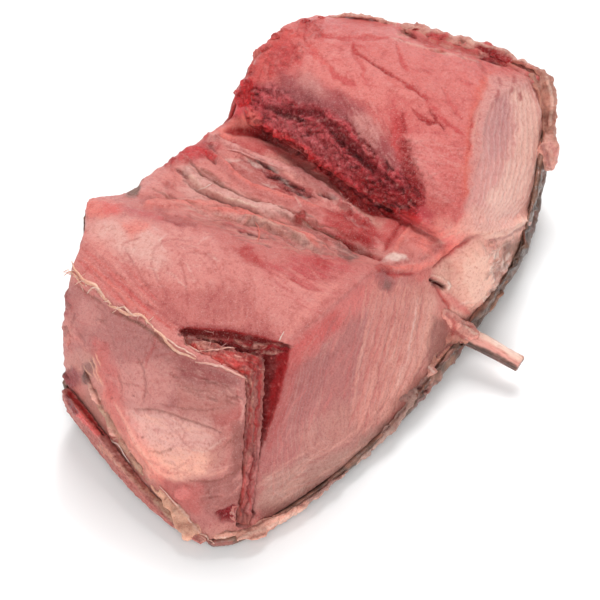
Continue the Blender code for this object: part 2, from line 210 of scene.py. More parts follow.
class Surface:
    """A mesh with its vertices in millimetres, its normals and its neighbours."""

    def __init__(self, mesh):
        self.mesh = mesh
        n = len(mesh.vertices)
        co = np.empty(n * 3, np.float32)
        mesh.vertices.foreach_get("co", co)
        self.co = co.reshape(-1, 3).astype(float) / MM
        edges = np.empty(len(mesh.edges) * 2, np.int32)
        mesh.edges.foreach_get("vertices", edges)
        self.edges = edges.reshape(-1, 2)
        self.links = np.bincount(self.edges.ravel(), minlength=n).astype(float)
        self.update()

    def update(self):
        """Writes the vertices to the mesh and reads its normals."""
        self.mesh.vertices.foreach_set("co", (self.co * MM).astype(np.float32).ravel())
        self.mesh.update()
        normal = np.empty(len(self.co) * 3, np.float32)
        self.mesh.vertex_normals.foreach_get("vector", normal)
        self.normal = normal.reshape(-1, 3).astype(float)

    def spread(self, values, rounds):
        """Values averaged with their neighbours'."""
        a, b = self.edges.T
        flat = values.reshape(len(values), -1).copy()
        for _ in range(rounds):
            for k in range(flat.shape[1]):
                column = flat[:, k]
                around = np.bincount(a, column[b], len(column)) + np.bincount(b, column[a], len(column))
                flat[:, k] = column + SPREAD * (around / self.links - column)
        return flat.reshape(values.shape)

    def smooth(self, rounds):
        self.co = self.spread(self.co, rounds)
        self.update()

    def push(self, height):
        """Moves the vertices along their normals."""
        self.co = self.co + self.normal * height[:, None]
        self.update()

    def broad_normal(self, rounds):
        """The normals averaged over a wider area."""
        broad = self.spread(self.normal, rounds)
        return broad / np.maximum(np.linalg.norm(broad, axis=1), 1e-9)[:, None]

    def covered(self, tree, reach):
        """1 for each vertex that has the tree's surface within reach in front of it."""
        result = np.zeros(len(self.co))
        for i in range(len(self.co)):
            start, way = Vector(self.co[i] * MM), Vector(self.normal[i])
            result[i] = tree.ray_cast(start, way, reach * MM)[0] is not None
        return result

    def attribute(self, name, values):
        """Keeps a number or a colour for each vertex in the mesh."""
        if values.ndim == 2:
            layer = self.mesh.attributes.new(name, "FLOAT_COLOR", "POINT")
            full = np.concatenate([values, np.ones((len(values), 1))], 1)
            layer.data.foreach_set("color", full.astype(np.float32).ravel())
        else:
            layer = self.mesh.attributes.new(name, "FLOAT", "POINT")
            layer.data.foreach_set("value", values.astype(np.float32))


def show(name, mesh, material, slot, *nodes):
    """Makes a piece of a mesh with its material, and hides the CAD parts of the given nodes. The slot is not
    used.
    """
    piece = bpy.data.objects.new(name, mesh)
    bpy.context.scene.collection.objects.link(piece)
    mesh.name = name
    mesh.materials.clear()
    mesh.materials.append(material)
    mesh.polygons.foreach_set("use_smooth", [True] * len(mesh.polygons))
    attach(piece, "root")
    if nodes:
        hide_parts(*nodes)
    return piece


def evaluated(mesh, kind, chosen=None, **settings):
    """A copy of a mesh with one modifier applied, to the chosen vertices if some are given."""
    holder = bpy.data.objects.new("holder", mesh)
    bpy.context.scene.collection.objects.link(holder)
    modifier = holder.modifiers.new(kind, kind)
    if chosen is not None:
        holder.vertex_groups.new(name="hidden").add([int(i) for i in np.nonzero(chosen)[0]], 1.0, "REPLACE")
        modifier.vertex_group = "hidden"
    for key, value in settings.items():
        setattr(modifier, key, value)
    graph = bpy.context.evaluated_depsgraph_get()
    result = bpy.data.meshes.new_from_object(holder.evaluated_get(graph))
    bpy.data.objects.remove(holder)
    return result


def voxel_mesh(mesh, voxel):
    """A mesh's shape as a fine, even grid of faces."""
    return evaluated(mesh, "REMESH", mode="VOXEL", voxel_size=voxel * MM, adaptivity=0.0)


def remeshed(node, voxel):
    """A CAD node's shape as a fine, even grid of faces, once its equal vertices are joined."""
    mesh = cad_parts[node].data.copy()
    bm = bmesh.new()
    bm.from_mesh(mesh)
    bmesh.ops.remove_doubles(bm, verts=bm.verts, dist=SAME_PLACE)
    bm.to_mesh(mesh)
    bm.free()
    return voxel_mesh(mesh, voxel)


def tree_of(mesh):
    """A search tree of a mesh, in metres."""
    vertices = [v.co for v in mesh.vertices]
    polygons = [tuple(p.vertices) for p in mesh.polygons]
    return BVHTree.FromPolygons(vertices, polygons)


def thinned_where(mesh, hidden, share):
    """A mesh with its hidden vertices merged until that share of the faces is left."""
    return evaluated(mesh, "DECIMATE", hidden, ratio=share, vertex_group_factor=HIDDEN_FACTOR)


def seen(surface):
    """How far each vertex shows in the fixed view: 1 in sight, 0 out of sight."""
    tree = tree_of(surface.mesh)
    to_eye = EYE - surface.co
    to_eye /= np.linalg.norm(to_eye, axis=1)[:, None]
    facing = np.einsum("ij,ij->i", surface.normal, to_eye)
    result = np.zeros(len(surface.co))
    off, nearer = SIGHT_LIFT
    for i in np.nonzero(facing > GRAZING)[0]:
        start = (surface.co[i] + surface.normal[i] * off + to_eye[i] * nearer) * MM
        if tree.ray_cast(Vector(start), Vector(to_eye[i]))[0] is None:
            result[i] = 1.0
    return surface.spread(result, 3)


# Values

# The flesh: its grid's size in millimetres, the share of its faces left once the hidden ones are merged, how
# near the skin covers it and how much of a place that takes, the stations at which it is parted, its sheen,
# how deep light goes in metres, how far its muscle lines drift, where the groove starts, and its fibres'
# length.
FLESH_VOXEL = 0.5
FLESH_SHARE = 0.62
FLESH_COVER = 2.5
FLESH_HIDDEN = 0.985
FLESH_CUTS = (("flesh_front", 0.0, 3.4), ("flesh_middle", 3.4, 7.2), ("flesh_rear", 7.2, 20.0))
FLESH_SUBSURFACE = 0.1
FLESH_COAT = 0.42
FLESH_SPECULAR = 0.15
SUBSURFACE_REACH = 0.0009
LINE_DRIFT = 0.16
GROOVE_START = 2.2
FIBRE_LENGTH = 26.0
# The walls' redder and the whole's warmer places, as size, seed and layers of noise, how strong the warmth
# is, how level the top is, and how far a place over the groove may lean out and aside.
BLUSH = (16.0, 3.0, 3)
WARM = (9.0, 5.0, 3)
WARMTH = 0.35
LEVEL = (0.25, 0.6)
GROOVE_LEAN = (0.3, 0.7)

# The brush: its cells in pixels, the least marbling and how much more there is on level faces, the sizes in
# millimetres and the reach in pixels of the noise that makes edges ragged, the least cover of a mark and how
# much blotches add, how wide a tapered stroke's ends are, and the raggedness of spots.
CELL = 12.0
MARBLE = (0.22, 0.16)
WARP_SIZE = 3.5
WARP = 2.0
SWAY_SIZE = 10.0
BLOTCH_SIZE = 1.6
BLOTCH = (0.72, 0.56)
TAPER = 0.25
BRUSH_SEED = 17
SPOT_RAG = 0.3
STROKE_MARGIN = 4
PATCH_MARGIN = 6

# The offset from the solid's drawing to its place, and the lines across the top: each station's X on the
# right and on the left edge.
DESIGN_OFFSET = np.array([-13.58, 0.65, 0.0])
STATION_X = ((-49.0, -46.0), (-22.5, -33.0), (1.0, -21.5), (7.0, -11.5), (12.0, 0.0), (31.0, 39.0),
             (33.0, 42.5), (42.0, 52.0), (58.0, 63.5), (79.0, 79.0), (101.0, 89.0))
ACROSS_FROM = -23.0
ACROSS = 75.0

# Colours, as they look in full light, and how bright they are there. Steep walls are made lighter by the wall
# gain, and richness makes up for the sheen on top.
SCREEN_COLOURS = {
    "lit": (244, 164, 154), "pink": (234, 154, 146), "rosy": (220, 134, 128), "rosy_dark": (202, 116, 111),
    "red_pink": (212, 100, 101), "shade_red": (184, 88, 86), "edge_coral": (246, 144, 132),
    "coral": (234, 106, 100), "wet_red": (230, 70, 74), "red": (190, 40, 44), "red_deep": (168, 20, 26),
    # void is painted shade: the near-black red put into gaps, holes and slots.
    "blood": (124, 8, 10), "void": (86, 4, 8), "clot_red": (176, 44, 50), "clot_dark": (152, 38, 48),
    "band": (234, 98, 106), "band_light": (232, 124, 128), "mauve": (178, 88, 90),
    # dusk is painted shade: a dim red put under overhangs.
    "mauve_shadow": (168, 76, 77), "dusk": (190, 72, 68), "pale": (236, 168, 160), "white": (252, 226, 214),
    "cream": (250, 208, 190), "cream_pink": (238, 182, 167), "peach": (252, 192, 173),
    "peach_red": (250, 160, 148), "orange_red": (236, 116, 100), "near_mauve": (191, 127, 122),
    "near_light": (216, 152, 144), "near_grey": (172, 98, 95), "near_tan": (202, 137, 128),
    "near_red": (194, 112, 107), "near_dark": (150, 90, 84), "near_pale": (238, 184, 174),
    "foot": (170, 110, 104), "wall_red": (207, 103, 99), "wall": (186, 118, 114),
    "wall_deep": (172, 102, 99), "wall_pale": (200, 142, 132), "wall_low": (190, 147, 136),
    "wall_shade": (150, 100, 92), "streak": (216, 146, 135), "streak_red": (196, 112, 106),
    "streak_pale": (232, 174, 158), "cut": (232, 164, 156), "cut_pale": (250, 198, 183),
    "cut_mauve": (202, 140, 140), "fold_brown": (148, 98, 84), "membrane": (224, 142, 134),
    "membrane_dark": (178, 94, 91), "grey": (138, 100, 94), "rear": (227, 122, 117),
    "rear_pale": (240, 146, 139), "rear_red": (215, 85, 85), "fibre": (230, 126, 120),
    "fibre_pale": (240, 148, 142), "plum": (156, 84, 86), "brown": (150, 92, 80),
    "skin_brown": (138, 104, 90), "skin_grey": (128, 95, 80), "skin_dark": (78, 60, 52),
    "skin_light": (172, 130, 108), "skin_wet": (100, 84, 75), "silver": (160, 124, 106),
    "torn_edge": (220, 154, 139), "soot": (150, 126, 115), "grey_green": (206, 168, 146),
    "bone_pink": (230, 84, 78), "bone_grey": (156, 92, 84), "maroon": (144, 42, 44),
    "fin_cream": (255, 222, 204), "fin_pink": (244, 178, 164), "tan": (204, 148, 130),
    "rim_brown": (186, 116, 107), "hot_pink": (228, 118, 114), "deepen": (238, 168, 168),
    "fat": (252, 218, 208), "sheen": (252, 226, 218), "vein": (218, 148, 146), "clot": (196, 84, 90),
    # wet_light is the colour of painted glints on the wet flesh.
    "wet_light": (248, 168, 168), "gold": (250, 198, 172), "hide_pale": (192, 160, 148),
    "fold_grey": (176, 136, 126),
}
FULL_LIGHT = 0.73
WALL_GAIN = 0.46
RICHNESS = 1.14


def pigment(colour):
    """A screen colour as a surface colour, a little richer, as the sheen on top pales it."""
    light = linear(colour)
    return light[0] * (light / light[0]) ** RICHNESS * FULL_LIGHT


PALETTE = {name: pigment(colour) for name, colour in SCREEN_COLOURS.items()}


def blended(colour, name, share):
    """A colour with that share of a palette colour over it."""
    return colour * (1 - share) + PALETTE[name] * share


# The top's colour at places along the stations.
TOP_COLOURS = ((0.0, "pink"), (1.2, "lit"), (2.0, "rosy"), (2.6, "rosy_dark"), (3.5, "membrane"),
               (4.6, "membrane"), (5.3, "red"), (5.8, "band"), (6.6, "mauve"), (7.2, "rear"),
               (8.5, "rear_pale"), (10.0, "rear"))

# Outlines and lines are pixels of the fixed view, x,y with spaces between.
DARK_BAND = ("246,104 256,84 272,92 300,104 330,112 356,132 386,164 424,184 426,206 400,213 372,209 "
             "345,188 312,162 290,146 264,132 248,118")
LIP = ("245,112 250,122 262,130 285,140 300,148 312,160 325,170 338,178 345,190 355,197 368,205 378,212 "
       "395,213 408,209 422,204")

# Strokes: colour, opacity, half width, height and line.
FRONT_LINES = (
    ("rosy_dark", 0.55, 1.2, -0.15, "122,247 124,242 131,239 140,238"),
    ("rosy_dark", 0.55, 1.4, -0.2, "124,246 132,262 144,282 160,302 178,322"),
    ("rosy_dark", 0.6, 1.2, -0.2, "151,262 155,274 160,284 168,296"),
    ("rosy_dark", 0.45, 1.2, -0.1, "152,260 155,248 164,241 178,239 194,241"),
    ("rosy_dark", 0.6, 1.2, -0.2, "180,260 183,272 186,284 188,300 187,308"),
    ("rosy_dark", 0.4, 1.2, -0.1, "179,264 183,255 194,251 206,254 214,262"),
    ("rosy_dark", 0.4, 1.4, -0.1, "216,262 222,280 226,300 226,318"),
    ("rosy_dark", 0.35, 1.4, -0.1, "246,268 254,286 256,306 254,326"),
    ("coral", 0.5, 2.0, -0.1, "86,250 104,266 126,290 150,312 172,330"),
    ("coral", 0.4, 2.0, -0.1, "80,262 98,280 122,302 146,318"),
    ("lit", 0.6, 2.0, 0.15, "92,246 112,262 136,288 158,310 178,328"),
    ("edge_coral", 0.6, 2.0, 0.15, "84,258 102,276 126,298 150,318"),
    ("shade_red", 0.7, 1.6, -0.2, "146,304 160,312 172,322 184,328"),
    ("red_pink", 0.6, 1.8, -0.2, "268,262 284,272 302,284 324,292"),
    ("red", 0.45, 1.4, -0.2, "278,276 292,280 308,288"),
    ("lit", 0.6, 1.6, 0.15, "272,270 290,282 310,292 326,296"),
    ("lit", 0.6, 1.4, 0.15, "288,268 306,280 328,288"),
)
NEAR_LINES = (
    ("brown", 0.56, 1.12, -0.3, "134,409 150,409 165,412 182,418 200,424 222,432"),
    ("near_pale", 0.52, 1.2, 0.18, "136,413 165,416 196,427"),
    ("brown", 0.45, 0.96, -0.24, "150,450 160,452 168,450 175,447"),
    ("brown", 0.56, 1.04, -0.3, "190,480 204,482 220,480 236,473 246,463"),
    ("white", 0.3, 0.96, 0.12, "193,449 204,451 214,446 226,437"),
    ("near_dark", 0.45, 1.28, -0.3, "138,358 144,372 146,390 144,404"),
    ("near_dark", 0.34, 1.12, -0.18, "118,372 122,386 122,400"),
    ("red", 0.34, 1.6, -0.06, "158,334 154,346 148,358 146,368"),
    ("red", 0.26, 1.76, 0.0, "96,338 92,352 98,362"),
    ("near_light", 0.45, 1.6, 0.18, "104,372 116,380 122,394"),
    ("near_light", 0.38, 2.0, 0.18, "150,362 150,380 152,400"),
    ("near_dark", 0.38, 1.12, -0.18, "160,404 180,408 204,410 222,408"),
    ("near_red", 0.38, 1.44, -0.12, "236,386 240,400 238,418"),
    ("near_pale", 0.45, 1.44, 0.18, "240,396 243,408 241,424"),
    ("brown", 0.38, 0.96, -0.18, "222,448 232,440 240,428"),
    ("peach", 0.45, 1.92, 0.24, "116,402 126,420 136,438 148,456 162,472"),
    ("near_red", 0.38, 1.92, 0.06, "110,398 122,426 138,452 156,474"),
    ("foot", 0.52, 1.28, -0.24, "206,486 212,500 214,514"),
    ("near_dark", 0.38, 1.28, -0.18, "66,306 74,314 72,330"),
    ("near_light", 0.45, 1.6, 0.24, "60,300 66,318 66,340"),
)
RIGHT_STREAKS = (
    ("streak_red", 0.46, 1.56, -0.16, "384,292 374,345 360,400 348,430"),
    ("streak_red", 0.46, 1.43, -0.16, "399,288 388,340 374,395 364,424"),
    ("shade_red", 0.31, 1.04, -0.16, "413,290 404,340 390,392 376,424"),
    ("streak_red", 0.43, 1.3, -0.14, "424,292 418,335 404,382 392,404"),
    ("streak", 0.5, 1.56, 0.11, "392,292 382,345 370,400 358,432"),
    ("streak_pale", 0.53, 1.17, 0.14, "406,290 396,345 382,398 370,428"),
    ("white", 0.43, 0.78, 0.14, "418,296 411,340 398,386"),
    ("streak_pale", 0.5, 1.43, 0.11, "432,296 428,335 414,376 402,396"),
    ("streak_pale", 0.43, 1.3, 0.09, "374,300 360,360 352,420"),
    ("wall_red", 0.37, 1.04, -0.09, "366,296 352,350 344,400"),
    ("plum", 0.43, 1.3, -0.14, "438,322 432,345 416,380"),
    ("wall_deep", 0.31, 0.91, -0.09, "352,304 348,316 344,328"),
)
GROOVE_STRANDS = (
    ("edge_coral", 1.0, 6.0, 1.3, "146,204 180,205 212,210 248,218 290,232 326,246"),
    ("rosy", 0.8, 2.5, 0.26, "166,212 200,217 240,226 276,236 310,250"),
    ("fold_brown", 0.57, 1.6, -0.91, "170,194 196,208 214,215 250,224 290,238 336,256"),
    ("near_pale", 1.0, 5.5, 1.43, "186,170 200,182 222,196 252,208 286,214 316,222"),
    ("cream", 0.92, 2.0, 0.65, "182,172 202,190 228,202 258,212"),
    ("fold_brown", 0.63, 1.4, -1.04, "184,180 200,192 226,206 262,218 290,226"),
    ("fold_brown", 0.92, 1.6, -1.17, "190,164 212,180 240,196 262,202 292,214 330,234 372,256"),
    ("red", 0.52, 2.0, -0.26, "286,210 312,222 336,232 352,246 372,256"),
    ("rosy", 1.0, 4.5, 1.43, "212,152 228,172 244,186 270,196 300,205 336,220 372,244"),
    ("edge_coral", 0.69, 2.0, 0.52, "218,158 232,176 252,190 286,200 320,212"),
    ("red_deep", 0.92, 2.4, -0.65, "229,161 234,168 238,176 246,182"),
    ("plum", 0.69, 1.8, -0.78, "208,144 214,152 224,162"),
    ("blood", 0.69, 1.6, -0.65, "204,152 210,158 216,163"),
    ("fold_brown", 0.57, 1.8, -0.65, "200,168 212,174 222,182"),
    ("pale", 1.0, 3.4, 1.04, "216,140 240,150 262,160 296,172 322,188 346,206 372,226"),
    ("mauve_shadow", 0.69, 1.8, -0.65, "240,158 262,170 290,186 316,198"),
    # The near-black strokes here are painted shade in the groove's gaps under the lip.
    ("void", 0.98, 1.3, -0.65, "254,160 262,164 270,168 277,172"),
    ("void", 1.0, 1.8, -0.78, "268,174 280,177 292,183 304,190"),
    ("void", 1.0, 1.8, -0.78, "284,186 294,190 304,196 310,196"),
    ("void", 0.92, 1.2, -0.65, "316,193 326,197 336,200"),
    ("red", 0.8, 1.6, -0.39, "266,186 278,190 286,194"),
    ("void", 0.92, 1.1, -0.78, "238,231 250,233 262,237 270,238"),
    ("fold_brown", 0.57, 1.3, -0.52, "284,240 300,246 318,250"),
    ("grey", 0.57, 2.0, -0.52, "244,224 270,226 296,238"),
    ("cream_pink", 0.92, 2.5, 0.78, "238,220 262,224 290,234 312,246"),
    ("red_deep", 0.8, 1.8, -0.78, "344,240 358,248 372,256 386,262"),
    ("red", 0.8, 2.4, 0.26, "336,236 352,236 372,244"),
    ("rosy", 1.0, 2.6, 0.91, "322,228 344,232 366,238 384,244"),
    ("pale", 0.92, 1.2, 0.39, "302,203 318,207 334,214"),
    ("blood", 0.8, 1.8, -0.65, "176,168 182,173 188,180"),
    ("red_pink", 0.69, 2.2, 0.26, "220,222 234,228 246,230"),
    ("wet_red", 0.69, 1.8, 0.39, "196,148 206,154 216,160"),
    ("fold_brown", 0.46, 1.4, -0.52, "306,232 322,240 336,248"),
)
REAR_VEINS = (
    ("red", 0.85, 1.8, -0.4, "352,42 356,52 366,60 378,66"),
    ("red_deep", 0.85, 2.2, -0.5, "372,63 384,70 394,77"),
    ("red", 0.85, 2.0, -0.4, "392,74 400,80 408,86 418,92 428,100"),
    ("rear_red", 0.8, 3.0, -0.3, "424,98 436,112 448,124 462,134"),
    ("red_deep", 0.9, 2.0, -0.5, "430,106 434,114 436,122"),
    ("red_deep", 0.9, 1.8, -0.5, "418,118 428,122 440,124 446,130"),
    ("red", 0.7, 2.0, -0.3, "412,108 420,116 430,120"),
    ("rear_red", 0.75, 3.4, -0.3, "330,66 334,76 344,80 356,86"),
    ("rear_red", 0.6, 2.4, -0.3, "352,52 362,66 366,84"),
    ("rear_red", 0.7, 3.0, -0.3, "290,40 294,54 300,66"),
    ("rear_red", 0.6, 2.6, -0.3, "314,34 338,38 360,38 388,38"),
    ("rear_red", 0.6, 2.0, -0.3, "398,44 400,58 408,72"),
    ("rear_red", 0.5, 2.4, -0.3, "444,88 450,104 462,120"),
    ("coral", 0.6, 3.0, -0.2, "306,40 316,56 330,66"),
    ("rear_pale", 0.9, 4.0, 0.3, "392,90 404,94 420,100"),
    ("fibre_pale", 0.8, 3.0, 0.3, "300,44 304,56 312,66"),
    ("fibre_pale", 0.8, 4.0, 0.3, "346,54 352,66 360,76"),
    ("fibre_pale", 0.6, 4.0, 0.3, "366,70 380,80 392,88"),
    ("red_deep", 0.6, 3.2, -0.3, "402,112 404,130 408,150"),
    ("rear_red", 0.7, 3.0, -0.3, "392,100 394,120 396,150"),
    ("shade_red", 0.5, 2.0, -0.2, "470,58 482,66 488,76"),
)

# Marks of the flesh in the order in which they are made, with the name of their kind first. A patch has its
# colour, opacity, softness, height and outline, and a stroke its colour, opacity, half width, softness,
# height and line; then crumble and raggedness may follow. Flecks have their colours, number, opacity, length,
# half width, height, the line whose way they take, outline, spread and crumble. Spots have the step that each
# is long before their places, and muscle its number of lines, strength, softness and two guide lines.
FRONT_MARKS = (
    ("patch", "rosy", 1.0, 14, 0, "90,198 215,228 375,270 285,347 180,330 105,290 75,265"),
    # Painted highlight: the lit and white patches lighten part of the front lobe's top.
    ("patch", "lit", 0.95, 18, 0, "82,225 108,212 150,226 205,236 228,262 205,286 165,282 130,266 92,252"),
    ("patch", "white", 0.35, 18, 0, "90,226 118,216 160,232 212,244 220,268 180,278 120,262"),
    ("patch", "pink", 0.9, 14, 0,
     "160,236 205,236 240,256 268,268 302,276 326,290 300,314 286,336 266,318 244,290 200,288 170,276"),
    ("patch", "rosy_dark", 0.6, 14, 0, "198,288 248,284 256,312 232,324 196,318"),
    ("patch", "rosy_dark", 0.65, 10, 0, "150,300 176,306 188,328 170,326 158,316"),
    ("patch", "rosy_dark", 0.7, 10, 0, "252,316 272,318 270,336 250,332"),
    ("patch", "edge_coral", 1.0, 9, 0, "86,197 118,196 126,208 102,217 84,215"),
    ("patch", "coral", 0.7, 7, 0, "100,203 118,203 124,212 106,215"),
    ("patch", "edge_coral", 0.8, 8, 0, "118,222 150,222 152,232 128,236"),
    ("stroke", "red_pink", 0.7, 6, 8, -0.2, "120,205 148,211 170,217 188,222"),
    ("patch", "mauve_shadow", 0.9, 5, -0.5, "166,212 182,215 197,220 195,226 180,225 164,219"),
    ("patch", "red_pink", 0.9, 10, 0, "292,256 352,252 352,266 332,276 314,288 296,278 284,266"),
    ("patch", "red_pink", 0.6, 9, 0, "262,262 284,264 282,278 266,274"),
    ("patch", "red", 0.7, 7, -0.3, "236,247 248,244 258,254 266,266 252,264 241,257"),
    ("patch", "red", 0.5, 6, 0, "312,258 332,258 330,268 314,268"),
    ("stroke", "lit", 0.7, 5, 7, 0.1, "340,282 318,300 298,320 286,338"),
    ("stroke", "shade_red", 0.85, 4, 7, 0, "178,329 205,328 236,331 262,337 280,342"),
    ("patch", "pink", 0.8, 5, 0.3, "284,330 290,330 286,344 278,342"),
    ("strokes", FRONT_LINES),
    ("flecks", "coral rosy_dark lit", 60, 0.45, 26, 1.0, -0.08, "88,250 126,286 176,330",
     "86,246 124,252 150,290 184,328 150,320 100,290 76,266"),
    ("flecks", "rosy_dark lit", 90, 0.35, 20, 0.9, -0.08, "216,262 224,290 226,326",
     "196,262 262,268 272,334 196,324", 0.2),
    ("flecks", "lit red_pink rosy_dark", 70, 0.45, 24, 1.0, -0.08, "262,262 300,284 330,296",
     "262,258 350,262 336,290 296,318 270,290", 0.15),
    ("flecks", "rosy white", 60, 0.3, 14, 0.9, 0, "92,220 150,250 200,262",
     "92,214 205,240 230,262 180,290 130,262", 0.9),
)
NEAR_MARKS = (
    ("patch", "near_mauve", 1.0, 12, 0,
     "64,280 105,303 140,318 175,352 200,361 250,380 246,520 200,530 150,500 112,398 97,350 58,352 56,300"),
    ("patch", "near_light", 0.6, 10, 0, "78,296 100,306 106,322 90,330 78,318"),
    ("patch", "near_light", 0.8, 8, 0.4, "56,318 74,320 78,340 62,346"),
    ("patch", "near_light", 0.9, 9, 0.2, "118,362 165,360 180,372 172,392 160,406 132,406 118,390"),
    ("patch", "near_grey", 0.85, 8, -0.2, "176,358 205,362 222,370 234,384 210,382 184,376"),
    ("patch", "near_tan", 0.8, 9, 0, "176,384 240,390 242,412 228,430 178,412"),
    ("patch", "near_red", 0.8, 8, 0, "214,414 242,406 240,440 224,446 212,432"),
    ("patch", "near_pale", 0.95, 16, 0.3, "128,408 196,420 220,430 220,452 168,456 132,440"),
    ("patch", "peach", 0.95, 15, 0.4, "124,434 165,450 218,448 218,470 190,480 150,480"),
    ("patch", "near_tan", 0.8, 12, 0.2, "212,440 244,420 244,462 226,478 210,470"),
    ("patch", "near_dark", 0.8, 7, 0, "232,424 246,418 248,500 230,508 230,470"),
    ("patch", "near_red", 0.85, 8, 0.2, "152,474 178,482 206,484 214,500 196,514 170,500"),
    ("patch", "foot", 0.9, 8, 0, "204,484 240,476 240,512 216,522 202,508"),
    ("patch", "coral", 0.35, 9, 0.1, "92,338 106,342 118,372 124,398 110,400 98,372"),
    ("patch", "edge_coral", 0.45, 10, 0.4,
     "104,392 122,400 140,428 156,452 172,474 156,482 132,450 112,420"),
    ("patch", "near_light", 0.7, 6, 0.4, "80,372 92,362 104,380 106,398 94,396 84,386"),
    ("patch", "grey", 0.7, 5, -0.3, "82,366 92,358 96,366 90,380 80,384"),
    ("patch", "rosy", 0.9, 4, 1.0, "176,489 184,485 192,490 191,497 182,499 176,496"),
    ("patch", "plum", 0.8, 5, 0.6, "62,292 70,296 72,312 64,316 58,304"),
    ("patch", "plum", 0.9, 5, 0.5, "64,372 74,366 82,374 78,386 68,386", 0.3),
    ("strokes", NEAR_LINES),
    ("spots", "blood", 0.6, 0.9, 1.3, -0.2, (2, 1), "112,397 170,449 133,395 104,342 206,404 143,436"),
    ("stroke", "gold", 0.6, 0.7, 1.3, 0.3, "88,360 99,381", {"rag": 1.2}),
    ("stroke", "gold", 0.6, 0.7, 1.3, 0.3, "92,356 104,386", {"rag": 1.2}),
    ("stroke", "gold", 0.6, 0.7, 1.3, 0.3, "96,352 100,366", {"rag": 1.2}),
    ("stroke", "gold", 0.6, 0.7, 1.3, 0.3, "84,366 92,376", {"rag": 1.2}),
    ("stroke", "fold_brown", 0.8, 1.8, 2.6, -0.4, "112,311 136,322 152,332 166,345 180,356"),
    ("stroke", "brown", 0.6, 1.4, 2.4, -0.3, "74,284 88,294 104,306"),
    ("patch", "clot_dark", 0.95, 4, -1.2, "216,513 232,506 252,508 256,516 236,521 222,522", 0.8),
    ("flecks", "near_light near_dark near_red", 110, 0.4, 18, 1.1, -0.15, "80,300 150,340 240,390",
     "64,286 140,318 200,364 248,384 240,410 110,392 98,350 62,350", 0.6),
    ("flecks", "near_pale near_dark", 50, 0.45, 12, 1.0, -0.2, "190,372 240,392",
     "176,366 244,386 240,404 182,396", 0.2),
    ("flecks", "near_pale peach near_red", 60, 0.4, 22, 1.2, 0.1, "140,420 190,450 230,440",
     "132,412 236,432 222,474 160,474", 0.4),
    ("flecks", "near_light near_dark", 30, 0.45, 16, 1.1, -0.15, "206,500 232,488 246,470",
     "200,486 244,470 240,508 206,508", 0.3),
)
RIGHT_MARKS = (
    ("patch", "wall", 1.0, 14, 0,
     "287,347 330,312 378,272 432,288 428,350 400,420 345,478 290,512 244,516 262,430"),
    ("patch", "wall_red", 0.95, 12, 0,
     "287,347 330,312 374,276 392,288 366,304 344,326 318,348 300,368 290,380"),
    ("patch", "rosy", 0.7, 12, 0, "335,308 372,280 384,294 366,312 344,322"),
    ("patch", "wall_deep", 0.8, 12, 0, "290,372 316,350 336,352 322,390 296,420 276,440"),
    ("patch", "wall_pale", 0.85, 16, 0, "300,430 340,404 372,392 392,410 366,440 330,452 296,462"),
    ("patch", "wall_low", 0.9, 12, 0, "262,478 300,460 345,450 388,420 400,424 345,480 290,512 256,508"),
    ("patch", "wall_shade", 0.7, 8, 0, "262,506 290,500 330,484 350,474 340,486 290,514 256,518"),
    ("patch", "streak", 0.85, 12, 0, "372,282 436,284 432,330 418,366 392,410 362,432 352,420 366,350"),
    ("muscle", 15, 0.24, 10, "288,372 268,430 262,495 290,512 345,478 400,424",
     "352,318 332,370 326,418 336,438 356,428 378,398"),
    ("muscle", 13, 0.24, 9, "364,290 346,360 344,432", "440,296 430,350 404,408"),
    ("patch", "cream_pink", 0.5, 9, 0,
     "414,292 438,298 440,318 432,350 420,372 402,404 386,420 376,416 396,380 408,340"),
    ("strokes", RIGHT_STREAKS, 1.4),
    ("patch", "wall_shade", 0.75, 8, -0.2, "434,318 450,320 456,345 440,368 426,374 430,340"),
    ("patch", "brown", 0.5, 8, 0, "396,398 420,372 432,376 420,398 400,420 384,432"),
    ("patch", "blood", 0.97, 4, -0.9,
     "262,350 274,345 290,346 287,366 276,402 266,434 257,458 253,440 257,400", 0.5),
    ("patch", "red_deep", 0.8, 4, 0, "276,346 290,346 287,366 276,400 266,430 268,400 274,370", 0.4),
    ("stroke", "red", 0.8, 1.8, 3, 0.2, "289,350 285,375 275,408 265,440", 0.5),
    ("stroke", "shade_red", 0.7, 5, 8, 0, "296,352 291,378 280,416 268,450"),
    ("stroke", "blood", 0.96, 4.0, 3, -0.6, "180,331 205,333 236,336 258,341 287,346", 0.4),
    ("patch", "clot_red", 0.9, 4, -0.3, "184,334 236,340 288,346 284,356 256,356 198,348", 0.8),
    # The near-black flecks on the plate's top are painted shade in its pores.
    ("flecks", "cream_pink void tan blood", 60, 0.8, 12, 1.0, 0.3, "190,340 230,344 280,350",
     "184,334 288,345 284,358 252,356 198,348", 0.3, 0.8),
    ("stroke", "blood", 0.8, 3.0, 2.5, -0.3, "182,332 205,334 236,337 262,341 284,346", 0.4),
    ("stroke", "red", 0.7, 1.6, 2.5, 0.1, "180,328 205,329 236,332 262,338 284,343", 0.3),
    ("stroke", "blood", 0.9, 3, 3, -0.5, "250,452 247,480 244,515", 0.4),
    ("flecks", "wall_pale wall_deep rosy", 110, 0.35, 34, 1.1, 0, "330,320 300,376 280,440 276,500",
     "290,356 352,300 366,320 344,400 322,440 268,496", 0.12),
    ("flecks", "wall_pale wall_deep cream_pink", 80, 0.35, 40, 1.1, 0, "270,500 320,470 372,430 392,404",
     "262,470 340,432 388,400 398,420 345,478 290,510", 0.12),
    ("flecks", "streak_pale streak_red streak", 130, 0.4, 44, 0.9, -0.08, "408,290 396,345 380,396 362,436",
     "366,288 436,290 428,345 400,404 362,434 350,400", 0.08),
    # Painted glints: bright pink specks on the wet seam.
    ("spots", "hot_pink", 0.8, 0.9, 1.2, 0.3, (1.5, 2),
     "262,372 270,358 284,362 264,400 272,412 266,428 258,446 278,384"),
)
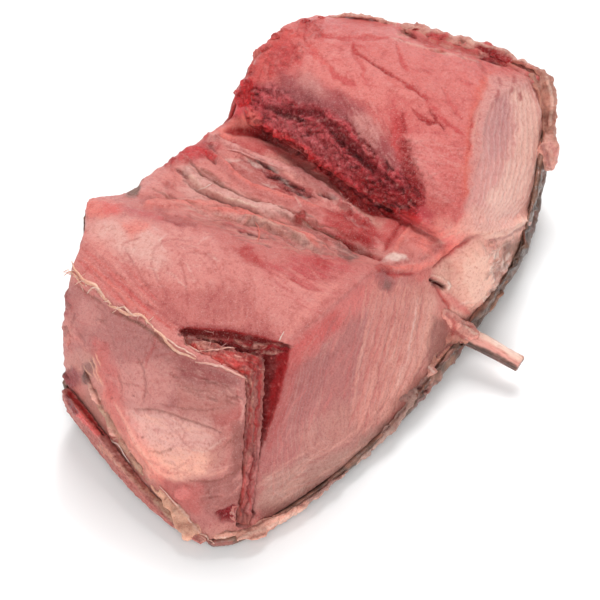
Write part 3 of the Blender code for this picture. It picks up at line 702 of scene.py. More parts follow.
CREAM_MARKS = (
    ("patch", "cream_pink", 0.95, 10, 0.2,
     "430,268 470,240 522,226 530,240 505,300 480,322 455,318 440,292"),
    ("patch", "cream", 0.25, 9, 1.6, "456,262 480,246 494,258 490,284 474,306 460,296 454,278"),
    ("patch", "skin_grey", 0.75, 8, 0.2, "502,244 520,238 524,252 508,286 500,292 500,268"),
    ("patch", "rosy", 0.8, 12, 0.3, "395,232 440,214 470,226 452,246 430,262 396,262 384,256"),
    ("patch", "edge_coral", 0.7, 8, 0.4, "392,240 410,232 432,240 430,256 404,258"),
    ("patch", "peach_red", 0.9, 12, 0.3, "432,216 470,206 482,226 456,246 438,236"),
    ("stroke", "edge_coral", 0.9, 3.2, 4, 0.7, "378,267 402,269 420,267 432,262 446,250 458,242"),
    ("stroke", "red", 0.8, 1.8, 3, -0.4, "384,272 398,274 414,274"),
    ("stroke", "red_deep", 0.75, 1.4, 2.4, -0.5, "432,268 444,257 456,248 470,240"),
    ("stroke", "plum", 0.6, 1.6, 3, -0.5, "456,246 470,238 486,233"),
    ("stroke", "red", 0.7, 1.8, 3, -0.5, "434,284 442,296 449,306 452,318"),
    ("stroke", "hot_pink", 0.6, 3.6, 5, 0.3, "446,294 458,306 470,314"),
    ("stroke", "hot_pink", 0.5, 4, 5, 0.2, "476,312 488,300 498,288"),
    # The notch: painted shade in its hole, with a pale rim.
    ("stroke", "void", 1.0, 1.7, 1.2, -1.8, "431,280 438,283 445,287", {"rag": 0.2, "taper": False}),
    ("stroke", "cream", 0.8, 1.0, 1.2, 0.4, "430,276 434,275.5 440,278 447,282", {"rag": 0.3}),
    ("stroke", "white", 0.9, 1.2, 1.2, 0.4, "447,281 449,285 448,290", {"rag": 0.3}),
    ("stroke", "brown", 0.8, 1.2, 1.4, -0.4, "431,284 438,287 444,290", {"rag": 0.3}),
)
FIN_FAT_MARKS = (
    ("patch", "cream", 0.9, 7, 1.0, "470,216 500,223 528,214 532,224 508,238 484,238 470,232"),
    ("stroke", "plum", 0.7, 1.5, 2.2, -0.5, "486,240 500,238 516,230 530,220"),
    ("stroke", "cream", 0.8, 2.0, 2.5, 0.5, "488,232 504,228 524,220"),
    ("stroke", "near_red", 0.35, 1.6, 2, 0.5, "486,241 490,239 494,242 493,247 488,248 485,244 487,240",
     {"rag": 0.2, "taper": False}),
    ("flecks", "white near_red cream", 40, 0.3, 14, 1.0, 0.15, "440,262 480,244 520,228",
     "432,264 480,236 528,218 524,240 500,290 462,312 444,290", 0.5),
    ("flecks", "rosy cream_pink shade_red", 40, 0.45, 14, 1.2, 0.2, "390,262 430,250 470,226",
     "388,236 440,216 470,224 440,258 392,262", 0.4),
    ("patch", "cream", 0.5, 8, 0.5, "458,262 470,250 484,252 488,272 480,298 466,304 456,284"),
    ("patch", "fold_brown", 0.3, 8, -0.3, "488,256 506,246 512,256 500,282 490,300 484,290"),
    ("flecks", "white grey cream_pink", 70, 0.6, 12, 1.1, 0.4, "482,300 490,280 500,260",
     "482,254 508,244 510,262 494,300 480,300", 0.1),
)
GROOVE_MARKS = (
    ("patch", "membrane", 0.95, 7, 0,
     "95,197 145,165 225,128 300,150 345,190 395,225 432,262 378,268 300,250 215,228"),
    ("patch", "red_pink", 0.9, 6, 0.5,
     "140,178 156,160 176,145 200,142 210,134 222,142 214,158 196,162 176,162 160,166", 0.3),
    ("patch", "wet_red", 0.7, 5, 0.4, "158,156 176,148 200,146 204,152 190,160 166,164", 0.35),
    ("patch", "edge_coral", 0.95, 7, 0.5, "206,136 222,126 246,114 262,122 250,132 236,138 222,144"),
    ("patch", "pale", 0.8, 4, 0.4, "206,140 218,132 222,136 214,150 208,148"),
    ("patch", "pink", 0.95, 5, 0.9, "138,196 143,178 154,166 168,168 174,176 172,190 162,200"),
    ("patch", "mauve_shadow", 0.85, 4, -0.4, "163,186 168,182 171,187 167,193"),
    ("patch", "rosy_dark", 0.85, 5, 0.2, "140,200 152,198 170,210 196,220 186,224 158,214"),
    ("patch", "near_pale", 0.9, 6, 0.4,
     "178,166 190,162 216,180 250,200 284,214 262,219 215,208 196,196 184,182"),
    ("patch", "cream_pink", 0.9, 6, 0.2,
     "236,142 262,146 276,154 300,160 326,176 350,200 380,222 376,232 345,210 310,186 270,164 244,156"),
    # Painted shade under the lip's overhang.
    ("patch", "dusk", 0.55, 8, -0.2,
     "286,150 310,158 332,172 350,194 372,210 386,218 376,222 350,204 322,182 296,164"),
    ("patch", "membrane_dark", 0.8, 5, 0,
     "236,158 256,160 290,178 316,192 322,200 300,202 262,190 240,178"),
    ("patch", "membrane_dark", 0.7, 6, -0.2, "286,206 318,222 344,234 366,250 346,248 312,234 290,222"),
    ("patch", "clot_red", 0.85, 4, -0.4, "258,163 284,175 312,190 310,199 284,190 266,178", 0.6),
    ("patch", "red_pink", 0.8, 8, 0, "322,212 345,210 372,222 384,236 372,252 344,244 318,228"),
    ("patch", "red_pink", 0.7, 7, 0, "232,140 256,140 282,150 276,156 250,154 232,150"),
    ("patch", "rear_red", 0.6, 7, 0, "386,220 410,214 420,222 404,236 390,250 380,240"),
    ("patch", "lit", 0.3, 10, 0, "140,190 180,166 240,150 300,166 350,206 376,236 300,222 220,208"),
    ("patch", "white", 0.3, 7, 0, "176,184 212,184 230,208 196,214"),
    ("strokes", GROOVE_STRANDS, 1.3),
    ("patch", "red", 0.45, 7, 0, "326,212 346,210 370,222 380,234 370,246 346,240 326,226"),
    ("patch", "red", 0.4, 7, 0, "238,142 256,142 282,151 276,157 252,154"),
    ("patch", "mauve_shadow", 0.6, 7, 0, "288,158 310,168 330,182 350,200 340,204 318,192 296,176"),
    ("patch", "lit", 0.7, 7, 0, "150,204 190,206 214,212 208,218 170,212"),
    ("patch", "red", 0.95, 3, 1.2, "295,216 301,213 306,217 302,221 299,224 296,221", 0.4),
    ("patch", "grey", 0.8, 5, -0.4, "334,243 348,246 360,254 352,262 338,256"),
    ("patch", "plum", 0.7, 6, -0.3, "376,276 388,274 398,284 392,294 380,290"),
    ("patch", "grey", 0.6, 4, -0.2, "384,282 392,282 394,290 386,290"),
    ("patch", "red_deep", 0.7, 4, -0.2, "374,266 390,270 398,278 388,276 376,272"),
    ("patch", "skin_brown", 0.9, 4, 0, "126,196 132,180 146,164 150,168 142,184 138,196", 0.4),
    ("stroke", "red_deep", 0.7, 2.2, 3, -0.6, "402,222 396,230 390,240 384,252"),
    ("stroke", "edge_coral", 0.8, 2.6, 3, 0.6, "410,226 402,238 394,252"),
    ("flecks", "near_pale fold_brown rosy", 120, 0.5, 30, 1.1, -0.25, "150,200 220,214 290,234 370,262",
     "150,198 200,170 262,200 330,226 386,256 330,256 215,226", 0.1),
    ("flecks", "pale red_deep rosy white", 90, 0.5, 18, 1.1, -0.2, "236,150 290,178 376,226",
     "222,150 262,160 330,196 380,232 360,240 290,200 236,176", 0.3),
    ("flecks", "cream_pink grey pale", 60, 0.5, 20, 1.0, -0.2, "224,222 280,236 340,256",
     "216,216 280,222 350,248 330,258 230,240", 0.15),
    ("flecks", "wet_red red_deep pale", 50, 0.6, 8, 1.2, 0.4, "150,166 200,148 226,140",
     "142,172 172,146 210,134 226,142 200,164 164,166", 0.8),
    ("flecks", "wet_red pale red_deep", 40, 0.6, 8, 1.0, 0.4, "330,204 370,226",
     "326,200 346,204 372,224 366,234 340,222", 0.8),
    ("patch", "red", 0.45, 6, 0, "322,212 345,210 372,224 380,236 368,246 340,238"),
    ("patch", "rear_red", 0.35, 6, 0, "262,146 290,150 308,160 302,168 276,162"),
    ("patch", "pale", 0.4, 7, 0, "184,178 204,184 228,198 226,212 196,206 180,194"),
    # Painted highlight: a white streak where the wet membrane catches the light.
    ("stroke", "pale", 0.8, 4.0, 4, 0.15, "382,261 394,258 408,260", {"rag": 2.0}),
    ("stroke", "white", 0.75, 2.4, 3, 0.15, "384,259 396,257 407,259", {"rag": 2.4}),
)
REAR_MARKS = (
    ("patch", "rear", 1.0, 12, 0,
     "258,45 300,18 370,12 545,66 500,66 478,112 466,230 425,205 400,140 340,100 262,80"),
    ("patch", "rear_pale", 0.9, 12, 0.2, "298,52 345,50 372,64 392,88 384,108 350,100 318,78"),
    ("patch", "rear_red", 0.5, 14, 0, "300,22 360,24 396,40 380,52 320,44"),
    ("patch", "rear_pale", 0.6, 10, 0, "284,46 334,40 342,74 300,78"),
    ("patch", "coral", 0.85, 10, 0.3, "244,92 256,60 262,44 290,26 306,34 292,60 270,74 256,84", 0.2),
    ("patch", "rear_red", 0.9, 8, 0.2, "268,50 288,40 296,60 284,76 270,72", 0.3),
    ("patch", "rear_pale", 0.45, 14, 0, "310,26 400,34 470,60 480,84 468,140 430,130 396,90 340,52"),
    ("patch", "mauve", 0.95, 12, 0,
     "282,72 310,78 340,92 362,108 384,140 400,160 392,176 366,160 340,130 300,104 272,92", 0.1),
    ("patch", "pale", 0.6, 12, 0.2, "300,66 318,78 330,96 318,100 296,84"),
    ("patch", "pale", 0.65, 8, 0.2, "352,118 368,114 380,132 376,150 362,144 350,130"),
    ("patch", "mauve", 0.8, 8, 0, "378,140 392,140 400,160 394,176 378,166"),
    ("patch", "plum", 0.5, 14, 0, "282,84 312,92 340,110 358,132 340,140 306,116 280,104", 0.2),
    ("patch", "band", 0.98, 7, -0.2, DARK_BAND, 0.95),
    ("patch", "mauve_shadow", 0.5, 7, 0, "258,104 296,112 332,138 372,186 352,184 312,152 268,128", 0.9),
    ("patch", "band_light", 0.5, 6, 0.2, "256,96 272,82 290,92 284,104 266,108", 0.8),
    ("patch", "band_light", 0.7, 6, 0.3, "262,114 286,118 310,132 330,150 318,152 290,136 264,126", 0.8),
    ("patch", "clot_red", 0.9, 6, 0.2, "352,168 372,182 396,192 418,190 424,204 404,212 380,208 360,190",
     0.9),
    ("patch", "rear_red", 0.9, 7, 0, "394,112 404,112 412,140 410,150 398,160 392,140", 0.2),
    ("patch", "red_deep", 0.75, 6, 0, "398,140 412,142 422,170 428,200 412,206 404,180", 0.6),
    ("stroke", "clot_dark", 0.9, 5, 5, -0.8, "262,106 290,112 312,112 326,122 350,146 374,170 396,186",
     0.9),
    # Near-black strokes in the dark band and under the lip's end: painted shade in its gaps.
    ("stroke", "void", 0.7, 2.4, 3, -0.9, "330,132 348,150 362,164 372,172", 1.0),
    ("stroke", "void", 0.8, 2.4, 3, -0.8, "272,112 290,118 306,120", 1.0),
    ("stroke", "clot_dark", 0.9, 3.5, 3, -0.6, "374,180 388,188 400,190 412,186", 0.9),
    ("stroke", "void", 0.9, 3.2, 3, -0.9, "376,204 392,209 410,207", 0.9),
    ("stroke", "red", 0.9, 3.6, 3, 0.5, LIP, 0.8, 2.0),
    ("stroke", "wet_red", 0.7, 2.2, 3, 0.2, "246,108 252,118 264,127 284,136 300,144 314,156", 0.5, 2.0),
    ("stroke", "coral", 0.5, 2.0, 3, 0.2, "322,166 336,176 346,190 360,200", 0.6, 2.0),
    ("patch", "wet_red", 1.0, 4, 1.0, "232,94 238,86 250,80 256,92 248,106 238,104", 0.5),
    ("patch", "edge_coral", 0.8, 6, 0.4, "246,108 256,112 262,124 250,124", 0.3),
    # The gap under the lip: dark red strokes, partly the gap's own red and partly painted shade under the
    # overhang.
    ("stroke", "red_deep", 0.95, 5, 5, -0.8, "226,133 250,131 272,136"),
    ("stroke", "blood", 0.85, 4, 5, -0.8, "256,132 280,142 300,152 310,158"),
    ("stroke", "red_deep", 0.8, 3, 4, -0.6, "316,162 334,178 348,196 372,212 400,218"),
    ("strokes", REAR_VEINS, 2.0),
    ("patch", "fibre_pale", 0.9, 7, 0.2, "404,136 430,131 458,142 466,168 460,196 444,204 424,186"),
    ("patch", "fibre", 0.7, 8, 0, "430,140 458,142 466,168 460,196 444,190"),
    ("flecks", "pale rear_red fibre_pale", 130, 0.45, 20, 0.8, 0.12, "410,150 440,160 466,166",
     "404,138 440,132 464,150 462,196 440,204 420,176", 0.35),
    ("patch", "orange_red", 0.9, 8, 0,
     "480,78 494,72 490,92 480,120 474,160 470,196 462,196 464,160 470,116"),
    ("stroke", "cream_pink", 0.7, 1.8, 3, 0.3, "480,102 474,130 474,156"),
    ("stroke", "red", 0.6, 1.4, 2.2, -0.3, "480,100 472,124 470,150"),
    # Painted shade below the torn edge along the top.
    ("stroke", "dusk", 0.75, 4, 4, -0.5, "398,30 424,39 452,46 478,54"),
    ("stroke", "cream_pink", 0.7, 1.6, 3, 0.2, "390,38 420,46 450,54 478,62"),
    # Near-black nicks in the top edge: painted shade in its holes.
    ("stroke", "void", 1.0, 2.2, 1.6, -1.6, "402,29 409,32 416,36", {"rag": 0.6}),
    ("stroke", "void", 0.9, 1.2, 1.4, -0.8, "461,42 464,43", {"rag": 0.3}),
    ("stroke", "torn_edge", 0.8, 2.2, 2.4, 0.3, "404,25 430,33 462,41 492,50 520,60 538,69"),
    ("patch", "rear_red", 0.9, 4, 0.6, "430,33 444,34 446,40 436,42 429,39", 0.3),
    ("stroke", "red_deep", 0.95, 5.0, 4, -0.7, "480,53 494,57 508,64", 0.6),
    ("stroke", "void", 0.8, 1.4, 2, -0.7, "478,57 490,60 504,65", 0.6),
    ("stroke", "tan", 0.85, 3.4, 4, 0.2, "506,60 524,66 538,74"),
    ("stroke", "fold_brown", 0.6, 1.4, 2.2, -0.5, "512,66 528,76 538,92 543,112 545,134"),
    # Flecks along the top edge; the dim red ones are painted shade below the torn edge.
    ("flecks", "dusk cream_pink red_deep tan", 60, 0.6, 12, 1.2, -0.3, "396,30 450,46 500,60 536,76",
     "392,22 450,36 520,58 544,74 534,84 490,66 440,52 396,38", 0.2),
    ("flecks", "rear_pale rear_red fibre_pale", 130, 0.45, 16, 1.3, 0.1, "300,50 380,70 470,90",
     "298,40 380,30 490,64 470,120 420,116 340,90", 0.7),
    ("flecks", "coral red fibre_pale", 90, 0.6, 9, 1.4, 0.5, "240,100 262,50 310,26",
     "238,96 262,44 300,22 330,22 300,62 262,80", 0.8, 0.3),
    ("flecks", "pale mauve_shadow", 70, 0.4, 18, 1.0, 0.1, "350,104 366,130 384,166",
     "340,96 380,108 398,150 390,174 362,150", 0.15),
    # Among these flecks, the near-black ones are painted shade between the crumbs.
    ("flecks", "clot_dark red_deep band_light void", 170, 0.7, 9, 1.3, -0.5, "258,100 310,116 400,200",
     DARK_BAND, 0.5, 1.0),
    # Painted glints: small light flecks on the dark band's wet crumbs.
    ("flecks", "hot_pink pale wet_red", 90, 0.75, 4, 0.9, 0.5, "258,110 330,160 410,206", DARK_BAND, 1.5,
     1.0),
    ("flecks", "wet_red red hot_pink", 70, 0.8, 7, 1.2, 0.7, LIP,
     "244,110 300,140 345,180 372,200 426,198 424,212 380,216 340,196 300,156", 0.8, 0.8),
)
CUT_MARKS = (
    ("patch", "cut", 1.0, 9, 0,
     "488,78 524,72 540,100 548,140 540,180 506,228 462,232 468,190 472,140 478,106"),
    ("patch", "cut_mauve", 0.65, 12, 0, "496,96 508,96 510,124 502,156 488,162 482,132"),
    ("patch", "cut_pale", 0.95, 12, 0,
     "512,84 532,92 548,140 542,176 520,206 496,220 486,200 506,168 516,130"),
    ("patch", "cream_pink", 0.6, 10, 0, "474,206 500,214 540,176 536,206 506,234 470,238 450,232"),
)

# The seam beside the bone plate, without muscle lines and marbling, and the fat by the fin, without marbling.
SEAM = "258,346 290,346 287,366 276,402 266,434 257,458 253,440"
FAT = "430,268 470,240 522,226 530,240 505,300 480,322 440,292"
# The white strands beside the fat: the first one's end, the step to the next, and how many.
STRAND_START = (501, 250)
STRAND_STEP = (-1.0, 5.4)
STRANDS = 10
# The cut face's muscle lines: the guide lines on both sides, how many, and a dark line's distance beside
# each.
CUT_ARC_INNER = "499,84 487,106 480,134 481,164 476,200 462,230"
CUT_ARC_OUTER = "529,78 540,100 546,132 544,164 530,200 500,232"
CUT_ARCS = 12
CUT_ARC_GAP = 2.0
# The red nicks in its top edge: their places, and their outline about each.
NICKS = "500,82 498,92 511,90 520,96 497,98 514,78"
NICK = "-2,-4 2,-3 2,3 -1,4"

SKIN_VOXEL = 0.85
SKIN_SHARE = 0.6
TISSUE_VOXEL = 0.42
SKIN_COVER = 3.0
SKIN_HIDDEN = 0.98
SKIN_FOOT = 0.3
HAIR_SPREAD = 0.7
LUMP_ROUGHNESS = 0.5

# Membranes: pixels of the fixed view, half thickness, colour and how far they stand off the surface.
MEMBRANE_LINES = (
    ("72,262 76,272 84,281 95,286 104,298 112,304", 0.55, "gold", 0.1),
    ("66,276 72,272 78,278 84,286", 0.3, "gold", 0.4),
    ("88,292 94,288 101,292 106,300", 0.3, "cream", 0.5),
    ("108,304 118,309 128,314 140,315 150,324", 0.5, "gold", 0.15),
    ("114,308 124,308 134,316 142,317", 0.28, "cream", 0.5),
    ("146,320 156,330 163,337 172,347 184,355 196,358", 0.45, "gold", 0.1),
    ("166,338 176,345 188,352 196,357", 0.25, "cream", 0.35),
    ("195,362 208,364 222,367 236,374 248,379", 0.4, "cream_pink", 0.1),
    ("182,340 196,350 212,350 236,348", 0.3, "cream_pink", 0.1),
    ("160,485 172,498 184,512 196,527 206,538 214,543", 0.45, "cream", 0.4),
    ("110,438 118,444 124,452 130,462", 0.35, "white", 0.3),
    ("222,148 240,152 262,161 284,171", 0.3, "pale", 0.1),
    ("256,222 259,232 258,243", 0.3, "edge_coral", 0.2),
    ("198,190 206,187 212,184", 0.16, "white", 0.2),
    ("278,342 281,337 284,332", 0.2, "white", 0.1),
)
MEMBRANE_HAIRS = (
    ("68,270 78,278 86,284", 16, 2.6, 0.13, "cream"),
    ("90,284 104,296 112,302", 14, 2.2, 0.12, "cream"),
    ("116,308 140,316 152,326", 14, 2.2, 0.12, "cream"),
    ("200,330 226,332 230,344 206,350", 14, 2.0, 0.09, "pale"),
    ("478,258 490,250 496,262 500,280 486,296", 12, 2.0, 0.09, "white"),
    ("400,206 414,200 424,206", 8, 2.0, 0.1, "pale"),
    ("340,196 360,216 376,222", 10, 2.2, 0.1, "pale"),
    ("110,436 124,444 132,456", 10, 2.0, 0.1, "cream"),
)

# Tissue: laid folds with half thickness, colour, lift and flatness, and lumps with their half sizes.
TISSUE_LINES = (
    ("380,21 404,26 430,33 462,42 494,52 520,61 541,71", 3.0, "torn_edge", -0.4, 0.32),
    ("476,47 488,51 500,57 512,63", 2.4, "rear_red", 0.0, 0.5),
    ("330,15 352,14 378,18 396,24", 1.4, "cream_pink", -0.4, 0.5),
    ("536,70 546,80 550,96 551,112 550,126 553,142", 2.2, "tan", 0.3, 0.8),
    ("530,74 538,86 543,104 545,122 547,140", 1.7, "tan", 0.2, 0.8),
    ("442,310 452,318 462,326 474,332", 2.4, "fin_pink", -0.3, 0.7),
    ("446,340 456,331 466,327 476,330", 2.2, "torn_edge", -0.2, 0.7),
    ("428,370 438,358 450,346 460,340 468,344", 2.0, "tan", -0.2, 0.6),
    ("398,402 410,394 420,386 430,374", 1.5, "fold_grey", -0.3, 0.6),
    ("480,322 490,310 500,296 508,280", 1.5, "skin_light", -0.9, 0.6),
    ("214,536 240,534 268,525 298,509 308,503", 2.5, "peach", -0.2, 0.42),
    ("284,516 304,505 326,489 348,471", 2.0, "fold_grey", -0.5, 0.42),
    ("346,473 368,453 388,432 406,408 420,390", 1.7, "hide_pale", -0.4, 0.5),
    ("84,378 96,398 108,420 122,444 136,464 150,482", 2.2, "grey_green", -0.4, 0.45),
    ("150,482 164,500 178,518 192,534", 2.6, "gold", -0.5, 0.5),
)
TISSUE_LUMPS = (
    (550, 153, (3.6, 5.0, 3.6), "cream_pink", -0.8, 0),
    (437, 36, (2.0, 1.6, 1.4), "rear_red", 0.2, 0),
    (498, 56, (2.4, 1.8, 1.4), "red_deep", 0.0, 0),
    (243, 97, (2.8, 3.0, 2.6), "wet_red", -1.0, 20),
    (237, 92, (1.2, 1.3, 1.2), "coral", -0.2, 0),
    (247, 82, (2.0, 2.4, 2.0), "wet_red", -1.0, 0),
    (252, 70, (1.6, 2.6, 1.6), "coral", -1.0, 0),
    (258, 56, (1.6, 2.8, 1.6), "edge_coral", -1.0, 0),
    (264, 46, (2.0, 2.0, 1.8), "coral", -1.2, 0),
    (272, 36, (1.6, 1.4, 1.4), "coral", -0.9, 0),
    (284, 30, (2.4, 1.6, 1.6), "coral", -1.1, 0),
    (304, 21, (2.0, 1.4, 1.4), "rear_red", -0.8, 0),
    (322, 18, (1.8, 1.2, 1.2), "coral", -0.6, 0),
    (67, 378, (2.2, 2.2, 1.6), "plum", -0.9, 0),
    (66, 302, (1.8, 3.6, 1.6), "near_mauve", -1.5, 0),
    (66, 330, (1.6, 4.4, 1.6), "near_light", -1.5, 0),
    (462, 327, (3.0, 2.4, 2.0), "fin_pink", -0.4, 0),
    (471, 334, (2.4, 2.0, 1.8), "fin_pink", -0.4, 0),
    (432, 372, (1.6, 1.8, 1.4), "cream_pink", 0.0, 0),
    (425, 391, (2.2, 1.4, 1.2), "fold_grey", -0.2, 20),
    (182, 514, (3.4, 3.8, 1.8), "gold", -0.4, 35),
    (192, 530, (3.4, 2.6, 1.8), "gold", -0.4, 35),
    (168, 505, (2.4, 2.4, 1.4), "gold", -0.4, 35),
    (95, 392, (2.4, 3.4, 1.4), "cream_pink", -0.5, 0),
    (88, 376, (2.0, 2.6, 1.4), "grey", -0.4, 0),
    (114, 432, (1.8, 1.8, 1.3), "cream_pink", -0.2, 0),
    (490, 243, (1.5, 1.3, 0.9), "cream_pink", -0.3, 0),
)
TISSUE_MARKS = (
    # Near-black marks on the tissue are painted shade in its holes and gaps.
    ("void", 1.0, 2.2, -1.6, "409,31 417,35"),
    ("void", 1.0, 1.4, -1.2, "461,42 464,43"),
    # Painted shade below the torn edge.
    ("dusk", 0.8, 2.0, -0.6, "400,30 420,37 446,44 474,52"),
    ("cream_pink", 0.8, 2.0, 0.3, "404,24 430,30 462,38 494,50 530,63"),
    ("rear_red", 0.8, 3.0, 0.2, "428,36 440,38 446,36"),
    ("red_deep", 0.95, 5.2, -0.5, "480,49 494,53 506,60"),
    ("void", 0.8, 1.4, -0.8, "486,57 496,61 504,64"),
    ("cream", 0.6, 1.2, 0.2, "470,41 500,49 530,63"),
    ("fold_brown", 0.35, 1.4, -0.4, "536,76 542,92 545,112 546,130"),
    ("cream", 0.8, 1.6, 0.3, "546,78 552,98 550,124"),
    ("plum", 0.5, 2.6, -0.2, "543,146 546,158 550,168"),
    ("pale", 0.7, 2.0, 0.2, "550,144 556,152 558,162"),
    ("red", 0.5, 2.2, -0.3, "448,314 456,324 452,334"),
    ("fin_cream", 0.7, 1.6, 0.2, "462,322 470,330 476,334"),
    ("near_red", 0.7, 1.6, -0.3, "452,330 460,336 468,340"),
    ("shade_red", 0.6, 1.2, -0.4, "456,318 464,324 470,326"),
    ("plum", 0.7, 1.6, -0.6, "438,356 450,345 462,344"),
    ("void", 0.9, 1.5, -0.8, "463,346 470,347"),
    ("white", 0.8, 1.4, 0.3, "428,366 434,372"),
    ("brown", 0.6, 1.4, -0.6, "214,532 240,529 266,520 296,504 324,485 346,470"),
    ("cream", 0.8, 1.4, 0.3, "214,538 240,537 268,528 298,512 326,492 346,476"),
    ("brown", 0.45, 1.2, -0.4, "240,541 268,533 298,517 326,497 350,477"),
    ("skin_grey", 0.85, 2.4, 0, "250,547 280,536 310,518 338,496 360,475"),
    ("void", 0.7, 1.4, -0.6, "346,469 366,450 388,428 404,408"),
    ("skin_grey", 0.7, 2.0, 0, "352,482 376,458 398,434 414,410"),
    ("void", 0.9, 1.6, -0.8, "418,388 428,391"),
    ("brown", 0.7, 1.4, -0.5, "86,372 92,384 98,400 104,412"),
    ("void", 0.9, 2.2, -0.9, "143,472 150,482 156,490"),
    ("tan", 0.7, 2.2, 0.2, "106,412 118,436 134,460"),
    ("cream", 0.9, 1.4, 0.4, "162,486 176,502 190,520 204,538"),
    ("peach", 0.8, 3.0, 0.2, "190,512 202,526 214,538"),
)
# The tissue's unevenness and crags, as size, seed and layers of noise, how crumbly it is, and the outline on
# the left where it is more so.
TISSUE_UNEVEN = (2.6, 14.0, 3)
TISSUE_CRAGS = (2.2, 25.0, 3)
LEAST_CRUMB = 0.3
LEFT_CRUMB = 0.8
TISSUE_CRUMBLE = "224,84 250,26 320,8 334,26 276,58 262,114 236,116"

# Skin, rim, plate and fin: strokes and flecks like those of the flesh.
SKIN_MARKS = (
    ("rim_brown", 0.95, 5.0, 0.0, "200,538 220,545 240,549 258,545"),
    ("coral", 1.0, 9.0, 0.0, "216,132 228,118 236,100 243,80 252,62 262,44 290,26"),
    ("rear_red", 1.0, 5.0, 0.0, "222,130 232,112 238,96 246,78"),
    ("skin_brown", 1.0, 5.0, 0.0, "126,196 132,182 146,166"),
    ("fold_brown", 1.0, 3.0, 0.0, "84,200 84,215 82,232"),
    ("skin_dark", 0.9, 5.0, -0.3, "556,172 549,190 545,205 535,220 528,236"),
    ("skin_light", 0.8, 1.4, 0.2, "552,170 543,190 537,206"),
    ("skin_dark", 0.9, 5.0, -0.2, "524,246 512,268 504,288"),
    ("tan", 0.8, 3.0, 0.2, "238,547 270,541 312,518 346,490 376,460 400,434"),
    ("skin_dark", 0.7, 4.0, 0.0, "330,512 356,492 384,464 410,438 430,408"),
    ("skin_wet", 0.7, 5.0, 0.0, "556,178 548,200 540,222"),
    # Near-black marks on the skin here are painted shade in its gaps.
    ("void", 0.6, 1.8, -0.5, "530,222 522,240 518,252"),
    ("skin_wet", 0.8, 6.0, 0.0, "520,250 512,276 498,300"),
    ("skin_light", 0.8, 4.0, 0.0, "484,318 470,338 456,358 440,380 428,396"),
    ("plum", 0.6, 4.0, 0.0, "440,384 424,400 410,420"),
    ("void", 0.8, 1.8, -0.8, "418,388 428,392"),
    ("void", 0.8, 1.8, -0.8, "456,352 470,347"),
    ("brown", 0.6, 2.4, 0.3, "400,404 412,396 424,398"),
)
# Noises of the skin, with size, seed and layers, for its mottling, brown and torn places, folds and grain.
SKIN_MOTTLE = (7.0, 41.0, 3)
SKIN_BROWN = (5.0, 43.0, 3)
SKIN_TORN = (4.0, 45.0, 3)
SKIN_FOLDS = (5.0, 47.0, 2)
SKIN_GRAIN = (1.8, 49.0, 2)
SKIN_SQUASH = np.array([1.0, 1.0, 0.35])
# Blotches of the skin, with colour, size, seed and strength, in a space stretched along the skin.
SKIN_TONES = (("skin_light", 3.5, 121.0, 0.6), ("skin_dark", 4.5, 123.0, 0.7), ("soot", 1.4, 125.0, 0.5))
SKIN_STRETCH = (0.35, 0.35, 1.0)
SKIN_FLECKS = (
    ("skin_dark skin_light skin_dark brown", 110, 0.9, 16, 1.6, -0.7, "556,174 545,205 526,242",
     "560,168 558,184 544,216 532,236 522,246 524,232 540,196 548,168"),
    ("skin_dark skin_grey silver skin_dark", 120, 0.9, 16, 1.6, -0.6, "526,242 512,272 494,308 474,330",
     "532,236 524,262 506,300 484,330 470,330 496,296 512,262 520,238"),
    ("torn_edge brown skin_dark cream_pink", 60, 0.8, 12, 1.3, 0.4, "470,338 440,376 410,414",
     "474,334 476,346 450,380 420,412 404,418 424,388 450,350"),
    ("skin_dark skin_light tan brown", 120, 0.8, 18, 1.2, -0.3, "404,420 360,470 300,520 240,546",
     "410,412 410,424 360,480 300,526 244,552 236,544 300,508 356,462"),
)
RIM_MARKS = (
    ("coral", 0.8, 3.0, 0.2, "74,408 86,422 98,434"),
    ("red_deep", 0.9, 2.6, -0.4, "70,392 78,402 90,416 104,432"),
    ("blood", 0.9, 2.4, -0.2, "66,396 70,404 76,412"),
    ("rim_brown", 0.9, 6.0, 0.0, "104,440 126,462 150,488"),
    ("tan", 0.8, 2.4, 0.2, "100,446 124,470 148,494"),
    ("plum", 0.7, 1.8, -0.3, "108,436 130,462 152,486"),
    # Near-black slots in the rim: painted shade.
    ("void", 0.95, 2.4, -0.8, "142,470 150,482 154,488"),
    ("void", 0.8, 1.6, -0.6, "98,424 104,432"),
    ("tan", 0.9, 5.0, 0.3, "150,490 168,510 184,528"),
    ("grey_green", 0.8, 3.0, 0.3, "156,500 170,516 186,532"),
    ("cream_pink", 0.9, 4.0, 0.4, "184,520 196,532 210,542"),
)
PLATE_MARKS = (
    ("bone_pink", 0.95, 9.0, 0.2, "196,352 222,356 250,366"),
    ("tan", 0.7, 2.0, 0.3, "198,346 216,345 236,350"),
    ("blood", 0.8, 2.0, -0.5, "190,342 208,342 228,345"),
    ("blood", 0.8, 1.8, -0.4, "206,350 232,349 258,354"),
    ("cream_pink", 0.8, 1.4, 0.3, "205,366 222,369 240,376 248,380"),
    ("bone_grey", 0.95, 3.0, 0.2, "254,372 254,402 250,440"),
    ("tan", 0.7, 1.0, 0.2, "251,374 251,404 248,438"),
    ("red_deep", 0.7, 2.0, -0.4, "260,362 259,400 254,440"),
    ("maroon", 0.8, 1.4, -0.4, "247,384 249,410 247,450"),
    ("wall", 0.95, 4.0, 0.0, "262,440 258,470 254,512"),
    ("near_red", 0.85, 3.0, 0.1, "248,458 246,480 243,505"),
    ("bone_pink", 0.3, 1.4, 0.1, "245,466 244,490 240,514"),
    ("blood", 0.9, 1.2, -0.5, "253,452 250,480 247,514"),
)
